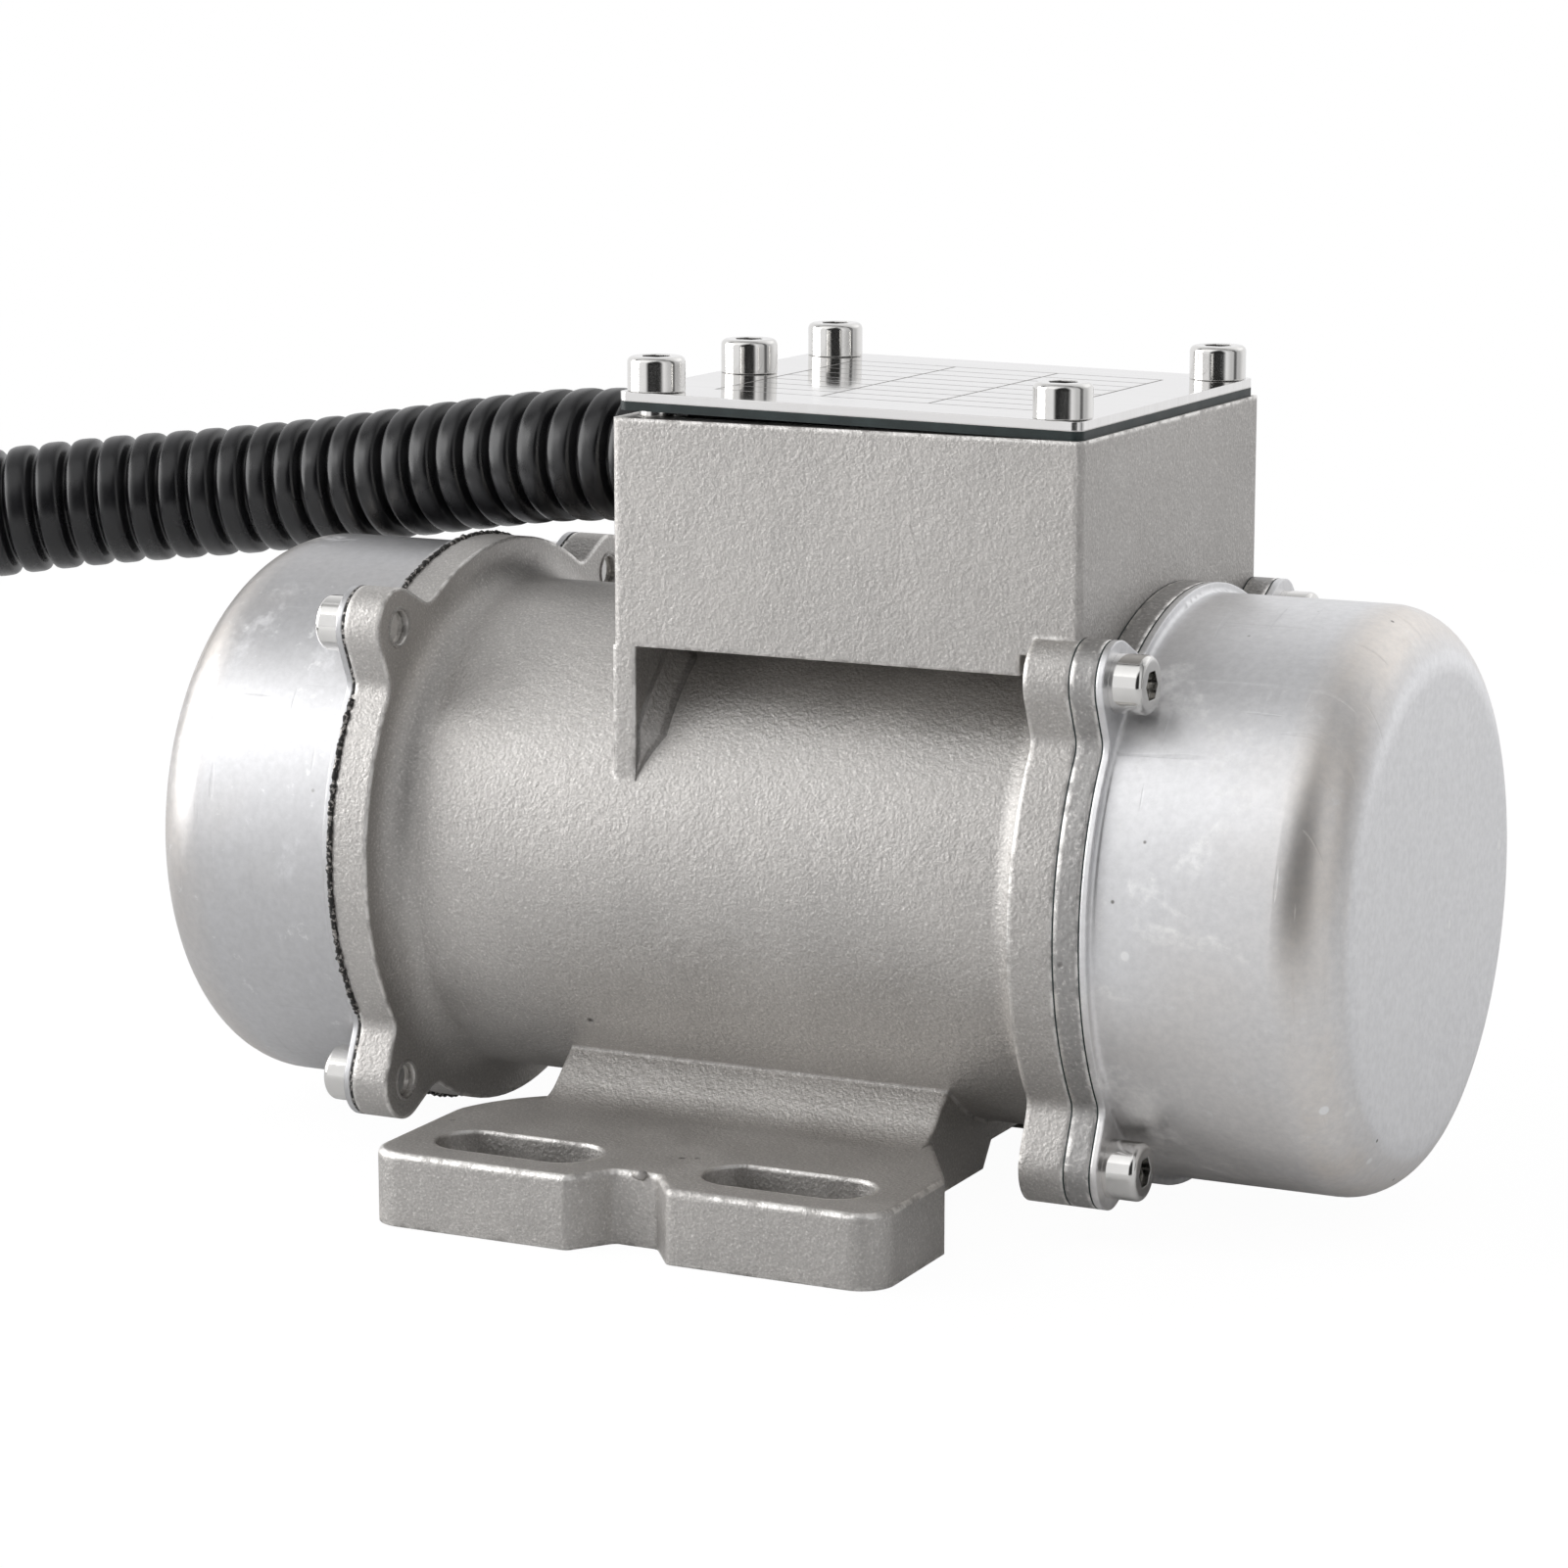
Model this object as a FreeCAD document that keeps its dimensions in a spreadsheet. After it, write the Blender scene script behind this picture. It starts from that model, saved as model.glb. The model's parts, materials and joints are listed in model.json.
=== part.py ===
import FreeCAD, Part
import math
import os
import re
import Sketcher
from FreeCAD import Placement, Rotation, Vector

# Vibration motor: an induction motor with eccentric weights on both shaft ends.
# Frame: X along the shaft towards the end-shield side, Y away from the reader, Z up.
# The origin is the centre of the four foot slots, on the plane that the feet stand on.
# Millimetres. Every rigid piece is drawn about the shaft axis and then raised to it.

os.makedirs("parts", exist_ok=True)
doc = FreeCAD.newDocument("VibrationMotor")

SIZES = [
    ("axis_height", 46.3, "shaft axis above the mounting plane"),
    # Cast housing: barrel and flanges
    ("left_joint", 61.6, "left joint face, distance from the origin"),
    ("right_joint", 55.4, "right joint face, distance from the origin"),
    ("barrel_radius", 38.2, "outside of the barrel"),
    ("bore_radius", 33.6, "stator bore"),
    ("flange_radius", 44.5, "flange discs, shield and cap rims"),
    ("left_flange", 6.0, "thickness of the left flange"),
    ("right_flange", 6.8, "thickness of the right flange"),
    ("flare", 5.0, "fillet from barrel to flange"),
    ("rim_round", 0.8, "rounding of cast rims"),
    # Screw ears on flanges, shield and caps
    ("bolt_circle", 48.45, "radius of the cap screw circle"),
    ("ear_angle", 46.25, "angle of an ear above the horizontal"),
    ("ear_radius", 6.0, "round end of an ear"),
    ("ear_root", 1.3, "depth that an ear starts inside the rim"),
    ("ear_root_half", 8.3, "half width of an ear at its root"),
    ("ear_blend", 70.0, "angle where the ear's side meets its round end"),
    ("ear_fillet", 3.0, "hollow between an ear and the flange"),
    # Socket head screws, M5
    ("screw_radius", 2.5, "shank"),
    ("screw_head_radius", 4.25, "head"),
    ("screw_head_height", 5.0, "head height"),
    ("screw_head_round", 0.9, "rounding of the head's rim"),
    ("socket_radius", 2.31, "hexagon socket, centre to corner"),
    ("socket_depth", 2.6, "hexagon socket"),
    ("screw_clearance", 0.05, "radial play of a screw in its hole"),
    ("cap_screw_end", 0.9, "how far a cap screw stays short of the flange's inner face"),
    # Terminal box, cast on the barrel
    ("box_left", 18.4, "left wall of the box, distance from the origin"),
    ("box_half_width", 35.05, "half width across the box"),
    ("box_top", 68.6, "top face above the shaft axis"),
    ("box_bottom", 35.2, "underside above the shaft axis"),
    ("box_wall", 4.0, "wall of the box"),
    ("box_floor", 40.2, "inner floor above the shaft axis"),
    ("box_round", 0.9, "rounding of the upright corners"),
    ("rib_thick", 3.5, "rib that carries the left end of the box"),
    ("step_length", 2.5, "step in the lower edge beside the right flange"),
    ("step_height", 3.0, "height of that step"),
    ("lid_inset_x", 4.95, "lid screw to the box's end face"),
    ("lid_inset_y", 4.65, "lid screw to the box's side face"),
    ("boss_radius", 4.6, "lid screw bosses in the box"),
    ("boss_depth", 18.0, "lid screw bosses"),
    ("lid_screw_length", 10.4, "shank of a lid screw"),
    ("wire_hole_radius", 7.0, "passage from the box to the windings"),
    ("wire_hole_x", 31.0, "place of that passage"),
    # Foot
    ("foot_half_length", 41.0, "half length of the foot plates"),
    ("foot_half_width", 70.0, "half width over both foot plates"),
    ("foot_thick", 11.0, "foot plate"),
    ("foot_corner", 5.0, "outer corners of the foot"),
    ("foot_side_y", 48.0, "where the end edge starts to draw in"),
    ("waist_half", 31.3, "half length of the neck under the barrel"),
    ("waist_y", 31.0, "where the end edge reaches the neck"),
    ("side_bend", 24.6, "bend of the left end edges"),
    ("slot_x", 21.75, "slot centre"),
    ("slot_edge", 11.0, "slot's middle to the long edge of the foot"),
    ("slot_length", 26.3, "slot, end to end"),
    ("slot_width", 11.0, "slot, for an M10 bolt"),
    ("notch_outer", 8.0, "notch between the slots, half width at the edge"),
    ("notch_inner", 3.4, "notch, half width at its floor"),
    ("notch_depth", 6.2, "notch"),
    ("notch_round", 1.5, "corners of the notch"),
    ("foot_edge", 1.0, "upper edges of the foot"),
    ("neck_foot_y", 32.3, "neck slope, where it meets the foot plate"),
    ("neck_top_y", 25.0, "neck slope, where it meets the barrel"),
    ("neck_fillet", 3.0, "blend from the slope to the foot plate, along each"),
    ("relief_depth", 2.4, "recess under the foot between the pads"),
    ("relief_half", 29.0, "half width of that recess"),
    ("channel_top", 6.2, "height of the channel under the barrel"),
    ("channel_half", 9.0, "half width of the channel at its top"),
    ("channel_draft", 3.0, "how much wider the channel is at its mouth"),
    # Bearings, 15 x 42 x 13
    ("bearing_bore", 7.5, "bore radius"),
    ("bearing_outer", 21.0, "outer radius"),
    ("bearing_width", 13.0, "width"),
    ("ball_pitch", 14.25, "radius of the ball centres"),
    ("ball_radius", 3.9, "ball"),
    ("race_play", 0.1, "groove radius over ball radius"),
    ("ring_wall", 3.7, "wall of a bearing ring at its shoulder"),
    ("cage_wall", 1.7, "radial thickness of the ball cage"),
    ("cage_width", 9.6, "width of the ball cage"),
    ("pocket_play", 0.15, "ball pocket over ball radius"),
    ("circlip_thick", 1.75, "inner retaining ring"),
    ("circlip_radius", 22.2, "outside of the inner retaining ring, in its groove"),
    ("circlip_width", 3.3, "radial width of the inner retaining ring"),
    ("circlip_gap", 5.0, "half of the gap in a retaining ring"),
    ("circlip_land", 2.2, "from the housing's face to the inner retaining ring"),
    ("seat_play", 0.03, "radial play of fitted cylinders"),
    ("bearing_hub", 26.0, "outside of the bearing hubs"),
    ("shoulder_radius", 17.6, "opening in the shoulder behind a bearing"),
    ("shoulder", 2.0, "shoulder behind a bearing"),
    # End shield and caps
    ("shield_thick", 3.7, "rim of the end shield"),
    ("spigot", 5.0, "spigot of the end shield in the bore"),
    ("spigot_wall", 3.6, "wall of that spigot"),
    ("joint_gasket", 0.25, "gaskets on the right side"),
    ("left_gasket", 0.5, "sealing compound behind the left cap"),
    ("cap_sheet", 1.0, "sheet of the caps"),
    ("cap_radius", 43.07, "outside of the caps"),
    ("cap_round", 9.3, "outer rounding of a cap's end"),
    ("brim_round", 0.7, "bend between a cap and its brim"),
    ("gasket_inner", 39.0, "inner radius of the cap gaskets"),
    ("cap_end_left", 96.33, "end of the left cap"),
    ("cap_end_right", 96.33, "end of the right cap"),
    # Lid of the terminal box
    ("lid_thick", 1.35, "lid plate"),
    ("lid_margin", 0.6, "lid inside the box's walls"),
    ("lid_corner", 1.5, "corners of the lid"),
    ("lid_gasket", 1.3, "gasket that sticks to the lid"),
    ("lid_lift", 1.1, "how far the lid and gasket stand open at the left end"),
    ("gasket_width", 8.6, "width of the lid gasket's frame"),
    # Rotor and stator
    ("core_centre", -1.25, "middle of the cores"),
    ("core_length", 50.0, "length of the cores"),
    ("stator_bore", 19.4, "bore of the stator"),
    ("air_gap", 0.3, "between stator and rotor"),
    ("slot_count", 18, "stator slots"),
    ("slot_open_half", 0.9, "half opening of a stator slot"),
    ("slot_neck", 1.3, "depth of the slot's opening"),
    ("slot_in_half", 1.75, "half width of a slot near the bore"),
    ("slot_out_half", 2.9, "half width of a slot at its floor"),
    ("slot_floor", 28.6, "radius of the slot's floor"),
    ("slot_liner", 0.3, "insulation in a slot"),
    ("end_turn", 11.0, "length of the end turns"),
    ("end_turn_inner", 21.6, "inner radius of the end turns"),
    ("end_turn_outer", 30.6, "outer radius of the end turns"),
    ("end_ring", 6.0, "length of the rotor's end rings"),
    ("end_ring_inner", 12.5, "inner radius of the end rings"),
    ("end_ring_step", 0.6, "end rings inside the rotor's surface"),
    ("bar_count", 16, "bars of the rotor's cage"),
    ("bar_radius", 1.6, "a bar of the rotor's cage"),
    ("bar_circle", 16.2, "circle of those bars"),
    ("shaft_core", 9.5, "shaft radius in the rotor"),
    ("shaft_end_radius", 7.0, "shaft radius under the weights"),
    ("shaft_tail", 5.5, "shaft beyond the outer retaining ring"),
    # Eccentric weights
    ("spacer", 5.6, "sleeve between bearing and fixed weight"),
    ("spacer_wall", 2.6, "wall of that sleeve"),
    ("fixed_thick", 12.0, "thickness of a fixed weight"),
    ("moving_thick", 12.0, "thickness of an adjustable weight"),
    ("weight_gap", 0.3, "gap between the weights"),
    ("weight_radius", 35.5, "outer radius of the weights"),
    ("weight_hub", 13.0, "hub radius of the weights"),
    ("weight_edge", 3.0, "upper edge of a weight below the shaft axis"),
    ("weight_play", 0.05, "play of a weight on the shaft"),
    ("clamp_slit", 1.6, "slit in the adjustable weight's hub"),
    ("clamp_half", 7.0, "half width of the clamp lugs"),
    ("clamp_top", 22.0, "top of the clamp lugs above the shaft axis"),
    ("clamp_screw_z", 17.5, "clamp screw above the shaft axis"),
    ("clamp_screw_radius", 2.0, "clamp screw, M4"),
    ("clamp_socket_radius", 1.7, "hexagon socket of the clamp screw, centre to corner"),
    ("clamp_head_radius", 3.5, "head of the clamp screw"),
    ("clamp_head_height", 4.0, "head of the clamp screw"),
    ("shaft_clip", 1.0, "outer retaining ring"),
    ("shaft_clip_radius", 9.6, "outer retaining ring"),
    ("shaft_clip_depth", 0.4, "groove for the outer retaining ring"),
    ("shaft_clip_gap", 3.0, "half of the gap in the outer retaining ring"),
    ("key_width", 5.0, "key of a fixed weight"),
    ("key_height", 5.0, "key of a fixed weight"),
    ("key_depth", 3.0, "key's depth in the shaft"),
    ("key_length", 8.0, "key of a fixed weight"),
    ("key_play", 0.03, "play of a key in its keyway"),
    # Cable entry and conduit
    ("entry_y", 21.5, "conduit entry beside the shaft axis"),
    ("entry_z", 56.1, "conduit entry above the shaft axis"),
    ("entry_run", 22.9, "first run of the conduit, out of the gland"),
    ("thread_radius", 8.0, "M16 thread of the conduit fittings"),
    ("fitting_hex", 12.6, "hexagon of the fittings, centre to corner"),
    ("fitting_hex_length", 4.5, "hexagon of the fittings"),
    ("fitting_body_radius", 13.0, "dome of the fittings"),
    ("fitting_body", 13.5, "length of the dome"),
    ("fitting_grip", 8.0, "conduit inside the dome"),
    ("fitting_thread_in", 6.5, "thread of the entry fitting"),
    ("fitting_thread_out", 12.0, "thread of the end fitting"),
    ("cable_bore", 5.5, "bore of the fittings"),
    ("nut_thick", 4.5, "lock nut"),
    ("conduit_radius", 10.6, "outside of the corrugated conduit"),
    ("conduit_wall", 2.2, "wall of the conduit"),
    ("conduit_play", 0.4, "conduit in the dome, radial"),
    ("lead_radius", 1.3, "insulated supply leads"),
    ("lead_spread", 2.4, "supply leads beside the fitting's middle"),
    ("lead_length", 36.0, "supply leads beyond the end of the conduit"),
    ("ferrule_radius", 0.9, "ferrules on the supply leads"),
    ("ferrule_length", 8.0, "ferrules on the supply leads"),
    # Inside the terminal box
    ("block_length", 34.0, "terminal block"),
    ("block_width", 17.0, "terminal block"),
    ("block_height", 11.0, "terminal block"),
    ("block_x", 2.0, "left end of the terminal block"),
    ("block_y", -27.0, "front face of the terminal block"),
    ("stud_radius", 2.0, "terminal studs"),
    ("stud_height", 5.0, "terminal studs above the block"),
    ("stud_pitch_x", 11.0, "terminal studs, along the block"),
    ("stud_pitch_y", 8.0, "terminal studs, across the block"),
    ("barrier", 1.6, "grooves between the terminals"),
    ("barrier_depth", 4.0, "grooves between the terminals"),
    ("earth_x", -8.5, "earth screw"),
    ("earth_y", -15.0, "earth screw"),
    ("earth_depth", 4.0, "thread of the earth screw in the floor"),
]
NAMES = {alias for alias, value, note in SIZES}

sheet = doc.addObject("Spreadsheet::Sheet", "Sizes")
for row, (alias, value, note) in enumerate(SIZES, start=1):
    sheet.set(f"A{row}", note)
    sheet.set(f"B{row}", str(value))
    sheet.setAlias(f"B{row}", alias)
doc.recompute()

pieces = []


def bound(text):
    """An expression in the sheet's aliases, written out as the document reads it."""
    return re.sub(r"[A-Za-z_]\w*", lambda m: ("Sizes." if m.group() in NAMES else "") + m.group(), text)


def size(text):
    """The number that an expression in the sheet's aliases stands for."""
    return float(sheet.evalExpression(bound(text)))


def bind(thing, **sizes):
    for name, text in sizes.items():
        thing.setExpression(name, bound(text))


def place(thing, x="0", y="0", z="0"):
    """Bind the place of a piece, in the part's own frame."""
    for axis, text in zip("xyz", (x, y, z)):
        thing.setExpression("Placement.Base." + axis, bound(text))


def keep(thing, label):
    """Name a finished sub-part: its label is its file and its node."""
    thing.Label = label
    pieces.append(thing)
    return thing


def new_body(label, raised="axis_height"):
    body = doc.addObject("PartDesign::Body", label)
    body.AllowCompound = True
    if raised:
        place(body, z=raised)
    return keep(body, label)


def origin_feature(body, role):
    return next(f for f in body.Origin.OriginFeatures if f.Role == role)


def sketch(body, plane, across="0", up="0", out="0"):
    """A sketch on one of the body's own planes, shifted in and out of that plane."""
    made = body.newObject("Sketcher::SketchObject", "Outline")
    made.AttachmentSupport = (origin_feature(body, plane), [""])
    made.MapMode = "FlatFace"
    for axis, text in zip("xyz", (across, up, out)):
        made.setExpression("AttachmentOffset.Base." + axis, bound(text))
    return made


def hold(made, kind, geometry, point, text):
    """One named dimension of a sketch, bound to the sheet."""
    value = size(text)
    if kind == "Radius":
        index = made.addConstraint(Sketcher.Constraint(kind, geometry, value))
    else:
        index = made.addConstraint(Sketcher.Constraint(kind, -1, 1, geometry, point, value))
    made.setExpression(f"Constraints[{index}]", bound(text))


def arc_between(start, end, radius, turn):
    """The short arc from start to end; turn is 1 for an arc that bends left, -1 for right."""
    chord = end - start
    half = chord.Length / 2
    rise = math.sqrt(max(radius * radius - half * half, 0.0))
    side = Vector(-chord.y, chord.x, 0).normalize()
    centre = (start + end) / 2 + side * rise * turn
    middle = centre + ((start + end) / 2 - centre).normalize() * radius
    return Part.Arc(start, middle, end)


def outline(made, corners):
    """A closed outline. A corner is (x, y), or (x, y, radius, turn) where an arc leads to it."""
    points = [Vector(size(c[0]), size(c[1]), 0) for c in corners]
    ids = []
    for i, corner in enumerate(corners):
        start, end = points[i - 1], points[i]
        curved = len(corner) == 4
        edge = arc_between(start, end, size(corner[2]), corner[3]) if curved else Part.LineSegment(start, end)
        ids.append((made.addGeometry(edge), curved, corner[3] if curved else 1))
    for i, corner in enumerate(corners):
        number, curved, turn = ids[i]
        following, next_curved, next_turn = ids[(i + 1) % len(ids)]
        end_point = 1 if curved and turn < 0 else 2
        start_point = 2 if next_curved and next_turn < 0 else 1
        made.addConstraint(Sketcher.Constraint("Coincident", number, end_point, following, start_point))
        hold(made, "DistanceX", number, end_point, corner[0])
        hold(made, "DistanceY", number, end_point, corner[1])
        if curved:
            hold(made, "Radius", number, 0, corner[2])


def circles(made, centres, radius):
    for across, up in centres:
        number = made.addGeometry(Part.Circle(Vector(size(across), size(up), 0), Vector(0, 0, 1), size(radius)))
        hold(made, "DistanceX", number, 3, across)
        hold(made, "DistanceY", number, 3, up)
        hold(made, "Radius", number, 0, radius)


def feature(body, kind, profile, **settings):
    made = body.newObject("PartDesign::" + kind, kind)
    made.Profile = profile
    for name, value in settings.items():
        setattr(made, name, value)
    return made


def turned(body, corners, kind="Revolution", **shift):
    """A solid, or with kind Groove a cut, turned about the body's X axis."""
    made = sketch(body, "XZ_Plane", **shift)
    outline(made, corners)
    return feature(body, kind, made, ReferenceAxis=(made, ["H_Axis"]), Angle=360.0)


def pad(body, made, length, **settings):
    grown = feature(body, "Pad", made, **settings)
    bind(grown, Length=length)
    return grown


def pocket(body, made, length=None, **settings):
    """A cut against the sketch's direction, or both ways through all of the body."""
    cut = feature(body, "Pocket", made, **settings)
    if length is None:
        cut.Type = "ThroughAll"
        cut.Midplane = True
    else:
        bind(cut, Length=length)
    return cut


def rounded(body, radius, wanted):
    """Round the edges of the body that the test picks."""
    doc.recompute()
    base = body.Tip
    names = [f"Edge{i}" for i, edge in enumerate(base.Shape.Edges, start=1) if wanted(edge)]
    made = body.newObject("PartDesign::Fillet", "Fillet")
    made.Base = (base, names)
    bind(made, Radius=radius)
    return made


def mirrored_quarters(across, up):
    return [(f"{sy} * ({across})", f"{sz} * ({up})") for sy in (1, -1) for sz in (1, -1)]


EAR_SCREWS = mirrored_quarters("bolt_circle * cos(ear_angle)", "bolt_circle * sin(ear_angle)")


def ears(body, start, thickness):
    """Four screw ears on a rim, from the plane x = start towards +X."""
    made = sketch(body, "YZ_Plane", out=start)
    tip_u = "bolt_circle + ear_radius * cos(ear_blend)"
    tip_w = "ear_radius * sin(ear_blend)"
    root_u = "flange_radius - ear_root"
    for sy in (1, -1):
        for sz in (1, -1):
            corners = []
            for u, w, curved in (
                (root_u, "-ear_root_half", False),
                (tip_u, f"-({tip_w})", False),
                (tip_u, tip_w, True),
                (root_u, "ear_root_half", False),
            ):
                across = f"{sy} * (({u}) * cos(ear_angle) - ({w}) * sin(ear_angle))"
                up = f"{sz} * (({u}) * sin(ear_angle) + ({w}) * cos(ear_angle))"
                corners.append((across, up, "ear_radius", sy * sz) if curved else (across, up))
            outline(made, corners)
    return pad(body, made, thickness)


def ear_roots(body, thickness):
    """Hollow blends where the ears meet the disc."""
    rounded(body, "ear_fillet", lambda e: abs(e.Length - size(thickness)) < 0.001
            and abs(e.BoundBox.XLength - e.Length) < 0.001
            and abs(math.hypot(e.CenterOfMass.y, e.CenterOfMass.z) - size("flange_radius")) < 0.01)


def ear_holes(body, start, length):
    made = sketch(body, "YZ_Plane", out=start)
    circles(made, EAR_SCREWS, "screw_radius + screw_clearance")
    return pocket(body, made, length, Reversed=True)


LID_SCREWS = [
    ("-box_left + lid_inset_x", "-box_half_width + lid_inset_y"),
    ("-box_left + lid_inset_x", "0"),
    ("-box_left + lid_inset_x", "box_half_width - lid_inset_y"),
    ("right_joint - lid_inset_x", "-box_half_width + lid_inset_y"),
    ("right_joint - lid_inset_x", "box_half_width - lid_inset_y"),
]


# From the housing's or the shield's outer face to the shoulder behind the bearing.
SEAT_DEPTH = "(circlip_land + circlip_thick + bearing_width)"


def motor_housing():
    """Investment-cast housing: barrel, two flanges, terminal box, rib, neck and feet in one."""
    body = new_body("motor_housing")
    flare = "min(flare; (flange_radius - barrel_radius) * 0.8)"
    turned(body, [
        ("-left_joint", "0"),
        ("-left_joint", "flange_radius"),
        ("-left_joint + left_flange", "flange_radius"),
        ("-left_joint + left_flange", f"barrel_radius + {flare}"),
        (f"-left_joint + left_flange + {flare}", "barrel_radius", flare, 1),
        (f"right_joint - right_flange - {flare}", "barrel_radius"),
        ("right_joint - right_flange", f"barrel_radius + {flare}", flare, 1),
        ("right_joint - right_flange", "flange_radius"),
        ("right_joint", "flange_radius"),
        ("right_joint", "0"),
    ])
    for start, thickness in (("-left_joint", "left_flange"), ("right_joint - right_flange", "right_flange")):
        ears(body, start, thickness)
        ear_roots(body, thickness)
    terminal_box(body)
    foot(body)
    housing_bore(body)
    ear_holes(body, "-left_joint", "left_flange")
    ear_holes(body, "right_joint - right_flange", "right_flange")


def rectangle(made, left, right, low, high):
    outline(made, [(left, low), (right, low), (right, high), (left, high)])


def round_rectangle(left, right, low, high, r):
    return [
        (f"{left} + {r}", low, r, 1),
        (f"{right} - {r}", low),
        (right, f"{low} + {r}", r, 1),
        (right, f"{high} - {r}"),
        (f"{right} - {r}", high, r, 1),
        (f"{left} + {r}", high),
        (left, f"{high} - {r}", r, 1),
        (left, f"{low} + {r}"),
    ]


def terminal_box(body):
    block = sketch(body, "XY_Plane", out="box_bottom")
    outline(block, round_rectangle("-box_left", "right_joint", "-box_half_width", "box_half_width", "box_round"))
    pad(body, block, "box_top - box_bottom")
    rib = sketch(body, "YZ_Plane", out="-box_left")
    rectangle(rib, "-box_half_width", "box_half_width", "0", "box_bottom")
    pad(body, rib, "rib_thick")
    for side in (1, -1):
        step = sketch(body, "XZ_Plane", out=f"{side} * (box_half_width - box_wall / 2)")
        rectangle(step, "right_joint - right_flange - step_length", "right_joint - right_flange",
                  "box_bottom", "box_bottom + step_height")
        pocket(body, step, "box_wall + box_round", Midplane=True)
    room = sketch(body, "XY_Plane", out="box_top")
    rectangle(room, "-box_left + box_wall", "right_joint - box_wall",
              "-box_half_width + box_wall", "box_half_width - box_wall")
    pocket(body, room, "box_top - box_floor")
    bosses = sketch(body, "XY_Plane", out="box_top - boss_depth")
    circles(bosses, LID_SCREWS, "boss_radius")
    pad(body, bosses, "boss_depth")
    taps = sketch(body, "XY_Plane", out="box_top")
    circles(taps, LID_SCREWS, "screw_radius + screw_clearance")
    pocket(body, taps, "lid_screw_length")
    entry = sketch(body, "YZ_Plane", out="-box_left")
    circles(entry, [("entry_y", "entry_z")], "thread_radius + screw_clearance")
    pocket(body, entry, "fitting_thread_in + screw_clearance", Reversed=True)
    passage = sketch(body, "XY_Plane", out="box_floor")
    circles(passage, [("wire_hole_x", "0")], "wire_hole_radius")
    pocket(body, passage, "box_floor - bore_radius + wire_hole_radius")
    earth = sketch(body, "XY_Plane", out="box_floor")
    circles(earth, [("earth_x", "earth_y")], "clamp_screw_radius + screw_clearance")
    pocket(body, earth, "earth_depth")


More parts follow.
